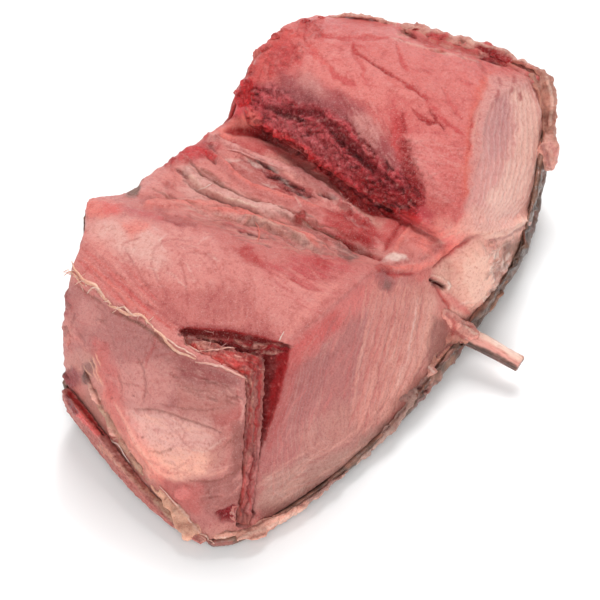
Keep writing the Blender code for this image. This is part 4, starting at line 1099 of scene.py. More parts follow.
PLATE_FLECKS = (
    ("cream_pink blood brown red_deep", 150, 0.6, 16, 0.9, 0.4, "190,345 230,354 262,364",
     "182,334 286,344 262,372 250,378 204,364 190,352"),
    # The near-black flecks on the plate's strip are painted shade in its pores.
    ("brown maroon red_deep void", 60, 0.6, 26, 0.9, 0.1, "256,366 254,410 246,510",
     "246,372 264,362 262,420 250,512 240,514 246,440"),
)
FIN_MARKS = (
    ("fin_cream", 0.95, 5.0, 0.2, "472,328 496,342 520,356"),
    ("fin_pink", 0.8, 1.4, -0.3, "478,337 500,351 516,363"),
    ("white", 0.7, 1.2, 0.2, "484,334 500,345 518,356"),
    # The lower edge: dark strokes, partly the fin's own grey-brown and partly painted shade on its underside.
    ("skin_dark", 0.9, 3.0, -0.1, "462,341 490,354 514,367"),
    ("grey", 0.9, 2.0, -0.2, "464,345 488,357 512,370"),
    ("tan", 0.8, 1.8, 0.2, "512,348 523,355 524,366"),
)

# The floor: how far it reaches and the sizes of its clouds and grain in millimetres, and its two tones.
FLOOR_REACH = 3000.0
FLOOR_CLOUDS = 60.0
FLOOR_GRAIN = 20.0
FLOOR_TONES = ((0.92, 0.92, 0.92, 1.0), (0.95, 0.95, 0.95, 1.0))
WORLD_STRENGTH = 0.34
# Lamps: the way to each from the view's target, its distance and size in metres, and its power in watts.
LIGHTS = (
    ("key", (0.545, 0.235, 0.806), 1.3, 0.85, 14.6),
    ("spark", (0.520, 0.310, 0.796), 1.3, 0.14, 1.9),
    ("fill", (-0.680, -0.360, 0.640), 1.3, 1.2, 12.8),
)


# Materials

# The flesh's noises, each with its size in millimetres, detail and roughness, and the depth of their relief.
VEIL = (3.0, 6.0, 0.68)
SPECKLE = (0.8, 5.0, 0.65)
FINE = (0.35, 3.0, 0.6)
CLOTS = (1.3, 5.0, 0.7)
GLINT_NOISE = (0.8, 3.0, 0.6)
FILM = (0.75, 4.0, 0.7)
VEIL_DEPTH = 0.56
SPECKLE_DEPTH = 0.48
FINE_DEPTH = 0.13
LINE_DEPTH = 0.12
CLOT_DEPTH = 1.0
FILM_DEPTH = 0.8


class Finish:
    """A material built from nodes, in the coordinates of its object."""

    def __init__(self, name, roughness, subsurface=0.0, coat=0.0, coat_roughness=0.2, specular=0.5):
        self.material = bpy.data.materials.new(name)
        self.material.use_nodes = True
        self.tree = self.material.node_tree
        self.shader = self.tree.nodes["Principled BSDF"]
        self.shader.inputs["Roughness"].default_value = roughness
        self.shader.inputs["Specular IOR Level"].default_value = specular
        self.shader.inputs["Subsurface Weight"].default_value = subsurface
        self.shader.inputs["Subsurface Radius"].default_value = (1.0, 0.35, 0.25)
        self.shader.inputs["Subsurface Scale"].default_value = SUBSURFACE_REACH
        self.shader.inputs["Coat Weight"].default_value = coat
        self.shader.inputs["Coat Roughness"].default_value = coat_roughness
        self.place = self.node("ShaderNodeTexCoord").outputs["Object"]

    def node(self, kind, inputs=(), **settings):
        made = self.tree.nodes.new(kind)
        for key, value in settings.items():
            setattr(made, key, value)
        for key, value in dict(inputs).items():
            self.put(made.inputs[key], value)
        return made

    def put(self, socket, value):
        if isinstance(value, bpy.types.NodeSocket):
            self.tree.links.new(value, socket)
        else:
            socket.default_value = value

    def attribute(self, name, colour=False):
        made = self.node("ShaderNodeAttribute", attribute_name=name)
        return made.outputs["Color" if colour else "Fac"]

    def noise(self, size, detail=3.0, roughness=0.55, stretch=None):
        """Noise with features of that size in millimetres, stretched along an axis if asked."""
        place = self.place
        if stretch:
            place = self.node("ShaderNodeMapping", {"Vector": place, "Scale": stretch}).outputs["Vector"]
        inputs = {"Vector": place, "Scale": METRE / size, "Detail": detail, "Roughness": roughness}
        return self.node("ShaderNodeTexNoise", inputs).outputs["Fac"]

    def cells(self, size):
        inputs = {"Vector": self.place, "Scale": METRE / size}
        return self.node("ShaderNodeTexVoronoi", inputs, feature="F1").outputs["Distance"]

    def math(self, operation, a, b):
        made = self.node("ShaderNodeMath", operation=operation)
        self.put(made.inputs[0], a)
        self.put(made.inputs[1], b)
        return made.outputs["Value"]

    def times(self, a, b):
        return self.math("MULTIPLY", a, b)

    def fit(self, value, low, high, to_low=0.0, to_high=1.0):
        """A value brought smoothly from one range to another."""
        inputs = {"Value": value, "From Min": low, "From Max": high, "To Min": to_low, "To Max": to_high}
        made = self.node("ShaderNodeMapRange", inputs, interpolation_type="SMOOTHSTEP")
        return made.outputs["Result"]

    def mix(self, share, a, b, blend="MIX"):
        made = self.node("ShaderNodeMix", data_type="RGBA", blend_type=blend)
        self.put(made.inputs[0], share)
        self.put(made.inputs[6], a)
        self.put(made.inputs[7], b)
        return made.outputs[2]

    def tint(self, share, colour, name):
        """That share of a palette colour over a colour."""
        return self.mix(share, colour, rgb(name))

    def deepen(self, share, colour, name):
        """A colour multiplied by a palette colour, by that share."""
        return self.mix(share, colour, self.mix(1.0, colour, rgb(name), "MULTIPLY"))

    def bump(self, height, distance, normal=None):
        """Relief of that depth in millimetres, on top of the relief so far."""
        inputs = {"Height": height, "Distance": distance * MM, "Strength": 1.0}
        if normal is not None:
            inputs["Normal"] = normal
        return self.node("ShaderNodeBump", inputs).outputs["Normal"]

    def finish(self, colour, roughness, normal, film=None):
        """Links the shader; the wet film on top may have relief of its own."""
        self.put(self.shader.inputs["Base Color"], colour)
        self.put(self.shader.inputs["Roughness"], roughness)
        self.put(self.shader.inputs["Normal"], normal)
        self.put(self.shader.inputs["Coat Normal"], film if film is not None else normal)
        return self.material


def rgb(name):
    return (*np.clip(PALETTE[name], 0, 1), 1.0)


def flesh_finish(name):
    """Wet raw flesh: painted colour, marbling, muscle fibres that follow their guides, a fine grain, and
    painted shade and glints where it crumbles.
    """
    m = Finish(name, 0.4, FLESH_SUBSURFACE, FLESH_COAT, 0.09, FLESH_SPECULAR)
    paint = m.attribute("paint", True)
    crumb, marble, lines, phase = (m.attribute(field) for field in ("crumb", "marble", "lines", "phase"))
    drift = m.fit(m.noise(5.0, 2.0), 0.2, 0.8, -LINE_DRIFT, LINE_DRIFT)
    wave = m.math("PINGPONG", m.math("ADD", phase, drift), 1.0)
    place = m.node("ShaderNodeCombineXYZ", {"X": m.times(phase, 1.3), "Y": m.attribute("along")})
    inputs = {"Vector": place.outputs["Vector"], "Scale": 1.0, "Detail": 4.0, "Roughness": 0.6}
    streak = m.node("ShaderNodeTexNoise", inputs).outputs["Fac"]
    stripe = m.math("ADD", m.times(m.fit(wave, 0.66, 1.0), 0.8), m.fit(streak, 0.42, 0.72, 0.0, 0.5))
    lighter = m.times(stripe, m.math("MAXIMUM", lines, 0.0))
    darker = m.times(stripe, m.math("MAXIMUM", m.times(lines, -1.0), 0.0))
    veil, speckle, fine, clots = (m.noise(*settings) for settings in (VEIL, SPECKLE, FINE, CLOTS))
    fatty = m.math("MINIMUM", m.times(marble, 4.0), 1.0)
    # Pits are the hollows of the crumbled relief; they are darkened, partly with the red of clotted blood and
    # partly as painted shade.
    pits = m.times(crumb, m.fit(clots, 0.54, 0.38))
    # Painted glints: light specks of the wet surface, scattered over the crumbled places.
    glints = m.times(crumb, m.fit(m.noise(*GLINT_NOISE), 0.56, 0.70))
    colour = m.deepen(m.times(m.fit(veil, 0.50, 0.34), marble), paint, "deepen")
    colour = m.tint(m.times(m.fit(veil, 0.52, 0.72, 0.0, 0.35), marble), colour, "fat")
    colour = m.deepen(m.fit(speckle, 0.52, 0.32, 0.0, 0.42), colour, "deepen")
    colour = m.tint(m.times(m.fit(fine, 0.54, 0.72, 0.0, 0.36), fatty), colour, "fat")
    colour = m.tint(m.times(lighter, 0.6), colour, "sheen")
    colour = m.deepen(m.times(darker, 0.8), colour, "vein")
    colour = m.deepen(m.times(pits, 0.75), colour, "clot")
    colour = m.tint(m.times(glints, 0.40), colour, "wet_light")
    rough = m.fit(m.noise(1.6, 4.0), 0.3, 0.7, 0.38, 0.60)
    normal = m.bump(veil, VEIL_DEPTH)
    normal = m.bump(speckle, SPECKLE_DEPTH, normal)
    normal = m.bump(fine, FINE_DEPTH, normal)
    normal = m.bump(m.math("SUBTRACT", lighter, darker), LINE_DEPTH, normal)
    normal = m.bump(m.times(clots, crumb), CLOT_DEPTH, normal)
    film = m.bump(m.noise(*FILM), FILM_DEPTH, normal)
    return m.finish(colour, rough, normal, film)


# Marks


def patch_distance(pixels, points):
    """How far each pixel is outside a closed outline; inside it is below zero."""
    points = points_of(points)
    closed = np.concatenate([points, points[:1]])
    inside = np.zeros(len(pixels), bool)
    x, y = pixels.T
    for (ax, ay), (bx, by) in zip(closed[:-1], closed[1:]):
        spans = (ay > y) != (by > y)
        if ay != by:
            inside ^= spans & (x < (bx - ax) * (y - ay) / (by - ay) + ax)
    gap = line_distance(pixels, closed)[0]
    return np.where(inside, -gap, gap)


class Paint:
    """The colour, relief, crumble and muscle lines of a surface, marked by pixels of the fixed view."""

    def __init__(self, surface, colour):
        self.surface = surface
        self.pixels = to_pixels(surface.co)
        self.seen = seen(surface)
        self.colour = colour
        n = len(colour)
        self.height, self.crumb, self.lines, self.phase, self.along = (np.zeros(n) for _ in range(5))
        self.marble = MARBLE[0] + MARBLE[1] * smooth_step(0.3, 0.8, surface.normal[:, 2])
        warp = [layered(surface.co, WARP_SIZE, seed, 3, 0.6) for seed in (31.0, 47.0)]
        self.warp = np.stack(warp, 1) * WARP
        sway = [layered(surface.co, SWAY_SIZE, seed, 3, 0.6) for seed in (33.0, 49.0)]
        self.sway = np.stack(sway, 1)
        self.blotch = 0.5 + 0.5 * layered(surface.co, BLOTCH_SIZE, 59.0, 2)
        self.random = np.random.default_rng(BRUSH_SEED)
        self.cells = {}
        shown = np.nonzero(self.seen > 0.02)[0]
        cell = np.floor(self.pixels[shown] / CELL).astype(int)
        order = np.lexsort((cell[:, 1], cell[:, 0]))
        shown, cell = shown[order], cell[order]
        starts = np.nonzero(np.any(np.diff(cell, axis=0) != 0, axis=1))[0] + 1
        for group in np.split(np.arange(len(shown)), starts):
            self.cells[tuple(cell[group[0]])] = shown[group]

    def near(self, points, reach):
        """The vertices in sight that may be within reach of a mark."""
        points = points_of(points)
        low = np.floor((points.min(0) - reach) / CELL).astype(int)
        high = np.floor((points.max(0) + reach) / CELL).astype(int)
        columns, rows = range(low[0], high[0] + 1), range(low[1], high[1] + 1)
        found = [self.cells[i, j] for i in columns for j in rows if (i, j) in self.cells]
        return np.concatenate(found) if found else np.zeros(0, int)

    def draw(self, marks):
        """Makes marks in the order of a table; a row has the kind, its values and perhaps options."""
        for kind, *values in marks:
            options = values.pop() if isinstance(values[-1], dict) else {}
            getattr(self, kind)(*values, **options)

    def blend(self, at, weight, colour, opacity, height, crumb):
        weight = weight * self.seen[at]
        cover = np.clip(opacity * weight * (BLOTCH[0] + BLOTCH[1] * self.blotch[at]), 0, 1)
        if colour:
            self.colour[at] += cover[:, None] * (PALETTE[colour] - self.colour[at])
        self.height[at] += height * weight
        self.crumb[at] += (crumb - self.crumb[at]) * weight if crumb is not None else 0.0

    def stroke(self, colour, opacity, width, soft, height, points, crumb=None, rag=1.0, taper=True):
        at = self.near(points, width + soft + STROKE_MARGIN)
        if not len(at):
            return
        gap, along = line_distance(self.pixels[at] + rag * self.warp[at], points)
        if taper:
            width = width * (TAPER + (1 - TAPER) * np.sqrt(np.clip(np.sin(np.pi * along), 0, 1)))
        weight = 1 - smooth_step(width - soft / 2, width + soft / 2, gap)
        self.blend(at, weight, colour, opacity, height, crumb)

    def strokes(self, lines, rag=1.0, least_soft=1.6, soft_share=0.9, taper=True):
        for colour, opacity, width, height, points in lines:
            soft = max(least_soft, width * soft_share)
            self.stroke(colour, opacity, width, soft, height, points, None, rag, taper)

    def spots(self, colour, opacity, width, soft, height, step, points):
        """Short strokes that each go a step from their place."""
        for start in points_of(points):
            self.stroke(colour, opacity, width, soft, height, (start, start + step), rag=SPOT_RAG)

    def patch(self, colour, opacity, soft, height, points, crumb=None, rag=1.5):
        at = self.near(points, soft * 1.5 + PATCH_MARGIN)
        moved = self.pixels[at] + (rag + soft * 0.12) * self.warp[at] + soft * 0.45 * self.sway[at]
        gap = patch_distance(moved, points)
        weight = 1 - smooth_step(-soft * 0.6, soft * 0.6, gap)
        self.blend(at, weight, colour, opacity, height, crumb)

    def flecks(self, colours, count, opacity, length, width, height, way, outline, spread=0.12, crumb=None):
        """Short strokes scattered in an outline, along the way of a line."""
        colours, outline, way = colours.split(), points_of(outline), points_of(way)
        places = self.random.uniform(outline.min(0), outline.max(0), (count * 4, 2))
        places = places[patch_distance(places, outline) < 0][:count]
        middles, turns = (way[1:] + way[:-1]) / 2, np.diff(way, axis=0)
        for place in places:
            nearest = np.argmin(np.linalg.norm(middles - place, axis=1))
            turn = math.atan2(turns[nearest, 1], turns[nearest, 0]) + self.random.normal(0, spread)
            half = length * self.random.uniform(0.25, 0.65)
            step = np.array([math.cos(turn), math.sin(turn)]) * half
            bend = np.array([-step[1], step[0]]) * self.random.normal(0, 0.12)
            share = self.random.uniform(0.4, 1.0)
            colour = colours[self.random.integers(len(colours))]
            line = (place - step, place + bend, place + step)
            half_width = width * self.random.uniform(0.6, 1.3)
            self.stroke(colour, opacity * share, half_width, width * 1.2, height * share, line, crumb, 0.6)

    def muscle(self, count, strength, soft, one, other):
        """Muscle lines that run between two guide lines, lighter where strength is above 0."""
        one, other = points_of(one), points_of(other)
        outline = np.concatenate([one, other[::-1]])
        at = self.near(outline, soft + STROKE_MARGIN)
        gap = patch_distance(self.pixels[at], outline)
        weight = (1 - smooth_step(-soft, 0, gap)) * self.seen[at]
        (a, along), (b, _) = (line_distance(self.pixels[at], guide) for guide in (one, other))
        length = np.linalg.norm(np.diff(one, axis=0), axis=1).sum()
        stronger = weight * abs(strength) > np.abs(self.lines[at])
        chosen = at[stronger]
        self.phase[chosen] = (a / np.maximum(a + b, 1e-6) * 2 * count)[stronger]
        self.along[chosen] = (along * length / FIBRE_LENGTH)[stronger]
        self.lines[chosen] = (weight * strength)[stronger]

    def apply(self, gain=0.0):
        """Writes the marks; steep sides are painted lighter, as they stand away from the light."""
        steep = 1 - smooth_step(0.2, 0.8, self.surface.broad_normal(12)[:, 2])
        self.surface.push(self.height)
        fields = {"paint": np.clip(self.colour * (1 + gain * steep)[:, None], 0, 1), "crumb": self.crumb,
                  "lines": self.lines, "phase": self.phase, "along": self.along, "marble": self.marble}
        for name, values in fields.items():
            self.surface.attribute(name, values)
        return fields


# Flesh


# The flesh's lumps, and its creases and crags where it crumbles: size, seed, layers and height.
LUMPS = ((9.0, 11.0, 3, 0.5), (2.6, 12.0, 2, 0.12))
CREASES = (3.0, 21.0, 3, 1.25)
CRAGS = (1.5, 23.0, 2, 0.55)

# Out of sight: how strong the marks are, the muscle lines' spacing in millimetres, slope, strength and sway,
# where they are lighter or darker, the folds' height, noise and squash along each axis, and blushes with
# colour, size, seed, the noise levels between which they come up, and strength.
UNSEEN_SHARE = 0.8
UNSEEN_LINE = 1.7
UNSEEN_SLOPE = 0.35
UNSEEN_STRENGTH = 0.7
UNSEEN_SWAY = (14.0, 101.0, 3)
UNSEEN_SWING = 5.0
UNSEEN_SIDES = (22.0, 103.0, 2)
UNSEEN_FOLD = 0.9
UNSEEN_FOLDS = (7.0, 105.0, 2)
UNSEEN_SQUASH = (1.0, 1.0, 2.2)
UNSEEN_BLUSHES = (
    ("wall_pale", 13.0, 111.0, -0.2, 0.5, 0.7),
    ("red_pink", 8.0, 113.0, 0.05, 0.6, 0.65),
    ("cream_pink", 5.0, 115.0, 0.2, 0.5, 0.7),
    ("shade_red", 3.0, 117.0, 0.3, 0.6, 0.55),
    ("red_deep", 1.6, 119.0, 0.5, 0.7, 0.45),
)


def stations(design):
    """How far along the top each point is, in stations of the solid."""
    t = np.clip((design[:, 1] - ACROSS_FROM) / ACROSS, 0, 1)
    lines = [(1 - t) * right + t * left for right, left in STATION_X]
    return sum(np.clip((design[:, 0] - a) / (b - a), 0, 1) for a, b in zip(lines[:-1], lines[1:]))


def base_colour(surface, smooth_normal):
    """The colour of each part of the flesh before any mark: the top along its stations, and the walls."""
    design = surface.co - DESIGN_OFFSET
    place = stations(design)
    keys = [k for k, _ in TOP_COLOURS]
    tones = np.array([PALETTE[c] for _, c in TOP_COLOURS])
    top = np.stack([np.interp(place, keys, tones[:, k]) for k in range(3)], 1)
    blush = smooth_step(-0.25, 0.6, layered(surface.co, *BLUSH))[:, None]
    wall = blended(PALETTE["wall_pale"], "wall_red", blush)
    x, y, z = smooth_normal.T
    out, aside = GROOVE_LEAN
    over_groove = (place > GROOVE_START) & (x < out) & (np.abs(y) < aside)
    level = np.where(over_groove, 1.0, smooth_step(*LEVEL, z))
    level = surface.spread(level, 4)[:, None]
    colour = wall * (1 - level) + top * level
    warm = smooth_step(-0.1, 0.7, layered(surface.co, *WARM))[:, None] * WARMTH
    return blended(colour, "rosy", warm), place


def parted(surface, groups, fields):
    """A surface's faces as several meshes that keep the whole one's smooth normals and painted fields."""
    mesh = surface.mesh
    mesh.calc_loop_triangles()
    faces = np.empty(len(mesh.loop_triangles) * 3, np.int32)
    mesh.loop_triangles.foreach_get("vertices", faces)
    faces = faces.reshape(-1, 3)
    for name, chosen in groups(faces):
        used, renumbered = np.unique(faces[chosen], return_inverse=True)
        part = bpy.data.meshes.new(name)
        part.from_pydata((surface.co[used] * MM).tolist(), [], renumbered.reshape(-1, 3).tolist())
        part.polygons.foreach_set("use_smooth", [True] * len(part.polygons))
        part.normals_split_custom_set_from_vertices(surface.normal[used].tolist())
        piece = Surface(part)
        for field, values in fields.items():
            piece.attribute(field, values[used])
        yield name, part


def flesh():
    """The flesh, painted as a whole and then parted in three."""
    surface = Surface(remeshed("flesh", FLESH_VOXEL))
    surface.smooth(6)
    covered = surface.covered(tree_of(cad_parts["skin"].data), FLESH_COVER)
    hidden = surface.spread(covered, 16) > FLESH_HIDDEN
    surface.co = tucked(surface.co)
    surface.update()
    surface = Surface(thinned_where(surface.mesh, hidden, FLESH_SHARE))
    colour, place = base_colour(surface, surface.broad_normal(16))
    paint = Paint(surface, colour)
    unseen_flesh(paint)
    paint_flesh(paint)
    lumps = sum(layered(surface.co, size, seed, layers) * height for size, seed, layers, height in LUMPS)
    size, seed, layers, height = CREASES
    crags = (creased(surface.co, size, seed, layers) - 0.5) * height
    size, seed, layers, height = CRAGS
    crags = crags + layered(surface.co, size, seed, layers) * height
    paint.height += lumps + crags * paint.crumb
    fields = paint.apply(WALL_GAIN)

    def groups(faces):
        middle = place[faces].mean(1)
        return [(name, (middle >= low) & (middle < high)) for name, low, high in FLESH_CUTS]

    finish = flesh_finish("raw_flesh")
    return [show(name, part, finish, "flesh", "flesh") for name, part in parted(surface, groups, fields)]


def unseen_flesh(p):
    """Muscle lines, blushes and specks of blood where the flesh is out of sight, like those that show."""
    away = (1 - p.seen) * UNSEEN_SHARE
    points = p.surface.co
    sway = layered(points, *UNSEEN_SWAY) * UNSEEN_SWING
    p.phase[:] = (points[:, 2] + sway + UNSEEN_SLOPE * points[:, 0]) / UNSEEN_LINE
    p.along[:] = (points[:, 0] + points[:, 1]) / FIBRE_LENGTH
    p.lines[:] = away * UNSEEN_STRENGTH * np.sign(layered(points, *UNSEEN_SIDES))
    for colour, size, seed, low, high, share in UNSEEN_BLUSHES:
        cover = smooth_step(low, high, layered(points, size, seed, 3)) * away * share
        p.colour += cover[:, None] * (PALETTE[colour] - p.colour)
    p.height += away * (creased(points * UNSEEN_SQUASH, *UNSEEN_FOLDS) - 0.4) * UNSEEN_FOLD


def paint_flesh(p):
    """The marks of the flesh, from the near lobe to the rear one's cut face."""
    p.draw(FRONT_MARKS + NEAR_MARKS + RIGHT_MARKS)
    clear_seam(p)
    p.draw(CREAM_MARKS)
    cream_strands(p)
    p.draw(FIN_FAT_MARKS + GROOVE_MARKS + REAR_MARKS + CUT_MARKS)
    cut_lines(p)


def clear_seam(p):
    """Takes muscle lines and marbling off the seam beside the bone plate, and marbling off the fat."""
    clear = np.where(p.seen > 0.5, smooth_step(-3.0, 3.0, patch_distance(p.pixels, SEAM)), 1.0)
    p.marble *= clear
    p.lines *= clear
    p.marble *= smooth_step(-6.0, 6.0, patch_distance(p.pixels, FAT))


def cream_strands(p):
    """Short white strands one below the other on the fat by the fin."""
    for k in range(STRANDS):
        x, y = (start + step * k for start, step in zip(STRAND_START, STRAND_STEP))
        line = ((x - 17 + 0.8 * k, y + 5 - k * 0.5), (x - 8, y + 1), (x, y - 3))
        p.stroke("white", 0.5, 0.7, 1.3, 0.25, line, rag=0.8)


def cut_lines(p):
    """The rear lobe's cut face: fine curved muscle lines, and red nicks in its top edge."""
    inner, outer = points_of(CUT_ARC_INNER), points_of(CUT_ARC_OUTER)
    for k in range(CUT_ARCS):
        share = (k + 0.5) / CUT_ARCS
        line = inner + (outer - inner) * share
        p.stroke("near_mauve", 0.12 + 0.12 * share, 1.0, 2.2, -0.05, line + (CUT_ARC_GAP, 0), rag=1.2)
        p.stroke("white", 0.18 + 0.20 * share, 0.8, 1.8, 0.06, line, rag=1.2)
    p.muscle(22, 0.2, 8, CUT_ARC_INNER, CUT_ARC_OUTER)
    for place in points_of(NICKS):
        p.patch("shade_red", 0.8, 3, 0, place + points_of(NICK))


# Soft parts laid on the surfaces


class Anchors:
    """Finds the places of pixels of the fixed view on the meshes that carry the small pieces."""

    def __init__(self, meshes):
        vertices, polygons = [], []
        for mesh in meshes:
            start = len(vertices)
            vertices += [v.co.copy() for v in mesh.vertices]
            polygons += [tuple(start + i for i in p.vertices) for p in mesh.polygons]
        self.tree = BVHTree.FromPolygons(vertices, polygons)
        self.points = np.array(vertices) / MM
        self.pixels = to_pixels(self.points)
        self.depth = (self.points - VIEW_TARGET) @ BACK

    def at(self, px, py):
        """The place that shows at a pixel and its normal, or beside the outline the nearest edge's depth."""
        place, normal, _, _ = self.tree.ray_cast(Vector(EYE * MM), Vector(ray_of(px, py)))
        if place is not None:
            return np.array(place) / MM, np.array(normal)
        gap = np.linalg.norm(self.pixels - (px, py), axis=1)
        near = gap < gap.min() + 2.0
        k = np.nonzero(near)[0][np.argmax(self.depth[near])]
        aside = (px - self.pixels[k, 0]) * RIGHT - (py - self.pixels[k, 1]) * UP
        return self.points[k] + aside / VIEW_SCALE, aside / max(np.linalg.norm(aside), 1e-6)


def curve_through(points, step):
    """Points about a step apart on a smooth curve through the given ones."""
    points = np.asarray(points, float)
    if len(points) < 2:
        return points
    ends = np.concatenate([[2 * points[0] - points[1]], points, [2 * points[-1] - points[-2]]])
    line = []
    for a, b, c, d in zip(ends[:-3], ends[1:-2], ends[2:-1], ends[3:]):
        count = max(2, int(np.linalg.norm(c - b) / step))
        t = np.linspace(0, 1, count, endpoint=False)[:, None]
        line.append(0.5 * (2 * b + (c - a) * t + (2 * a - 5 * b + 4 * c - d) * t ** 2
                           + (3 * b - a - 3 * c + d) * t ** 3))
    return np.concatenate(line + [points[-1:]])


class Parts:
    """Tubes and lumps that are gathered into one mesh."""

    def __init__(self, anchors, seed):
        self.anchors = anchors
        self.random = np.random.default_rng(seed)
        self.vertices, self.faces, self.colours = [], [], []

    def add(self, vertices, faces, colour):
        start = sum(len(v) for v in self.vertices)
        self.vertices.append(vertices)
        self.faces += [tuple(start + i for i in f) for f in faces]
        self.colours.append(np.tile(PALETTE[colour], (len(vertices), 1)))

    def tube(self, line, radius, colour, sides=7, flat=1.0, up=None, rough=0.2, ends=0.15):
        """A tube along points in millimetres, thinner towards its ends, flattened across the up direction."""
        line = np.asarray(line, float)
        n = len(line)
        along = np.gradient(line, axis=0)
        along /= np.linalg.norm(along, axis=1)[:, None]
        up = np.tile(BACK, (n, 1)) if up is None else np.asarray(up, float)
        side = np.cross(along, up)
        side /= np.maximum(np.linalg.norm(side, axis=1), 1e-9)[:, None]
        over = np.cross(side, along)
        t = np.linspace(0, 1, n)
        thick = radius * (ends + (1 - ends) * np.sqrt(np.clip(np.sin(np.pi * np.clip(t, 0.02, 0.98)), 0, 1)))
        rings = []
        for k in range(sides):
            a = 2 * math.pi * k / sides
            wobble = 1 + rough * noise(line + k * 3.1, max(radius * 2.5, 0.8), 71.0)
            rings.append(line + (math.cos(a) * side + math.sin(a) * flat * over) * (thick * wobble)[:, None])
        grid = np.stack(rings, 1)
        vertices = np.concatenate([grid.reshape(-1, 3), line[:1], line[-1:]])
        pairs = [(k, (k + 1) % sides) for k in range(sides)]
        first, last, end = n * sides, n * sides + 1, (n - 1) * sides
        faces = [(i + a, i + b, i + sides + b, i + sides + a) for i in range(0, end, sides) for a, b in pairs]
        faces += [(first, b, a) for a, b in pairs]
        faces += [(last, end + a, end + b) for a, b in pairs]
        self.add(vertices, faces, colour)

    def laid(self, pixels, radius, colour, lift, step, wander, **shape):
        """A tube laid on the surface along pixels of the fixed view; it wanders by that much."""
        found = [self.anchors.at(x, y) for x, y in curve_through(points_of(pixels), 3.0)]
        line = np.array([place + normal * lift for place, normal in found])
        up = np.array([normal for _, normal in found])
        fine = curve_through(line, step)
        share = np.linspace(0, len(up) - 1, len(fine))
        up = np.stack([np.interp(share, np.arange(len(up)), up[:, k]) for k in range(3)], 1)
        shift = np.stack([noise(fine, 2.5, 80.0 + k + len(self.vertices)) for k in range(3)], 1)
        self.tube(fine + shift * wander, radius, colour, up=up, **shape)

    def hairs(self, pixels, count, length, radius, colour):
        """Fine loose fibres that stick out along a line of pixels."""
        base = curve_through(points_of(pixels), 1.0)
        for _ in range(count):
            x, y = base[self.random.integers(len(base))] + self.random.normal(0, 0.8, 2)
            place, normal = self.anchors.at(x, y)
            way = normal * 0.6 + BACK * 0.2 + self.random.normal(0, HAIR_SPREAD, 3)
            way /= np.linalg.norm(way)
            bend = self.random.normal(0, 0.35, 3)
            reach = length * self.random.uniform(0.4, 1.0)
            t = np.linspace(0, 1, 7)[:, None]
            line = place - normal * 0.3 + (way * t + bend * t ** 2) * reach
            self.tube(line, radius, colour, sides=4, rough=0.0, ends=0.3)

    def lump(self, px, py, size, colour, lift, turn):
        """A rounded lump at a pixel: its half sizes across the view, up it, and towards the eye."""
        place, normal = self.anchors.at(px, py)
        sphere = bmesh.new()
        bmesh.ops.create_icosphere(sphere, subdivisions=4, radius=1.0)
        sphere.verts.ensure_lookup_table()
        ball = np.array([v.co for v in sphere.verts])
        faces = [tuple(v.index for v in f.verts) for f in sphere.faces]
        sphere.free()
        c, s = math.cos(math.radians(turn)), math.sin(math.radians(turn))
        across, upward = RIGHT * c + UP * s, UP * c - RIGHT * s
        shape = ball * np.array(size)
        points = shape[:, :1] * across + shape[:, 1:2] * upward + shape[:, 2:] * BACK
        large, small = max(size) * 0.8, max(size) * 0.3
        uneven = layered(points + place, large, 91.0) + 0.5 * layered(points + place, small, 93.0)
        points *= (1 + LUMP_ROUGHNESS * uneven)[:, None]
        self.add(place + normal * lift + points, faces, colour)

    def mesh(self, name, voxel=None, smooth=2):
        """The parts as one mesh, melted together if a voxel size is given."""
        mesh = bpy.data.meshes.new(name)
        points = np.concatenate(self.vertices)
        mesh.from_pydata((points * MM).tolist(), [], self.faces)
        if voxel is None:
            return Surface(mesh), np.concatenate(self.colours)
        surface = Surface(voxel_mesh(mesh, voxel))
        surface.smooth(smooth)
        tree = KDTree(len(points))
        for i, point in enumerate(points):
            tree.insert(point, i)
        tree.balance()
        nearest = np.array([tree.find(point)[1] for point in surface.co])
        return surface, surface.spread(np.concatenate(self.colours)[nearest], 3)


def membranes(anchors):
    """The cream skins and loose fibres that show at the edges and in the groove."""
    parts = Parts(anchors, 5)
    for pixels, radius, colour, lift in MEMBRANE_LINES:
        parts.laid(pixels, radius, colour, lift, 0.5, 0.35, flat=0.55, rough=0.45)
    for pixels, count, length, radius, colour in MEMBRANE_HAIRS:
        parts.hairs(pixels, count, length, radius, colour)
    surface, colour = parts.mesh("membranes")
    surface.attribute("paint", np.clip(colour, 0, 1))
    surface.update()
    return show("membranes", surface.mesh, membrane_finish("thin_membrane"), "flesh")


def tissue(anchors):
    """The lumps and folds of fat, clotted meat and gristle round the edges."""
    parts = Parts(anchors, 6)
    for pixels, radius, colour, lift, flat in TISSUE_LINES:
        parts.laid(pixels, radius, colour, lift, 0.8, 0.6, flat=flat, rough=0.5, sides=12, ends=0.4)
    for x, y, size, colour, lift, turn in TISSUE_LUMPS:
        parts.lump(x, y, size, colour, lift, turn)
    surface, colour = parts.mesh("tissue", TISSUE_VOXEL, 3)
    paint = Paint(surface, colour)
    paint.strokes(TISSUE_MARKS, soft_share=1.0, taper=False)
    paint.crumb[:] = np.maximum(paint.crumb, LEAST_CRUMB)
    paint.patch(None, 0.0, 6, 0.0, TISSUE_CRUMBLE, LEFT_CRUMB)
    crags = (creased(surface.co, *TISSUE_CRAGS) - 0.5) * 0.9
    paint.height += layered(surface.co, *TISSUE_UNEVEN) * 0.5 + crags * paint.crumb
    paint.apply(WALL_GAIN)
    return show("edge_tissue", surface.mesh, flesh_finish("edge_fat"), "flesh")


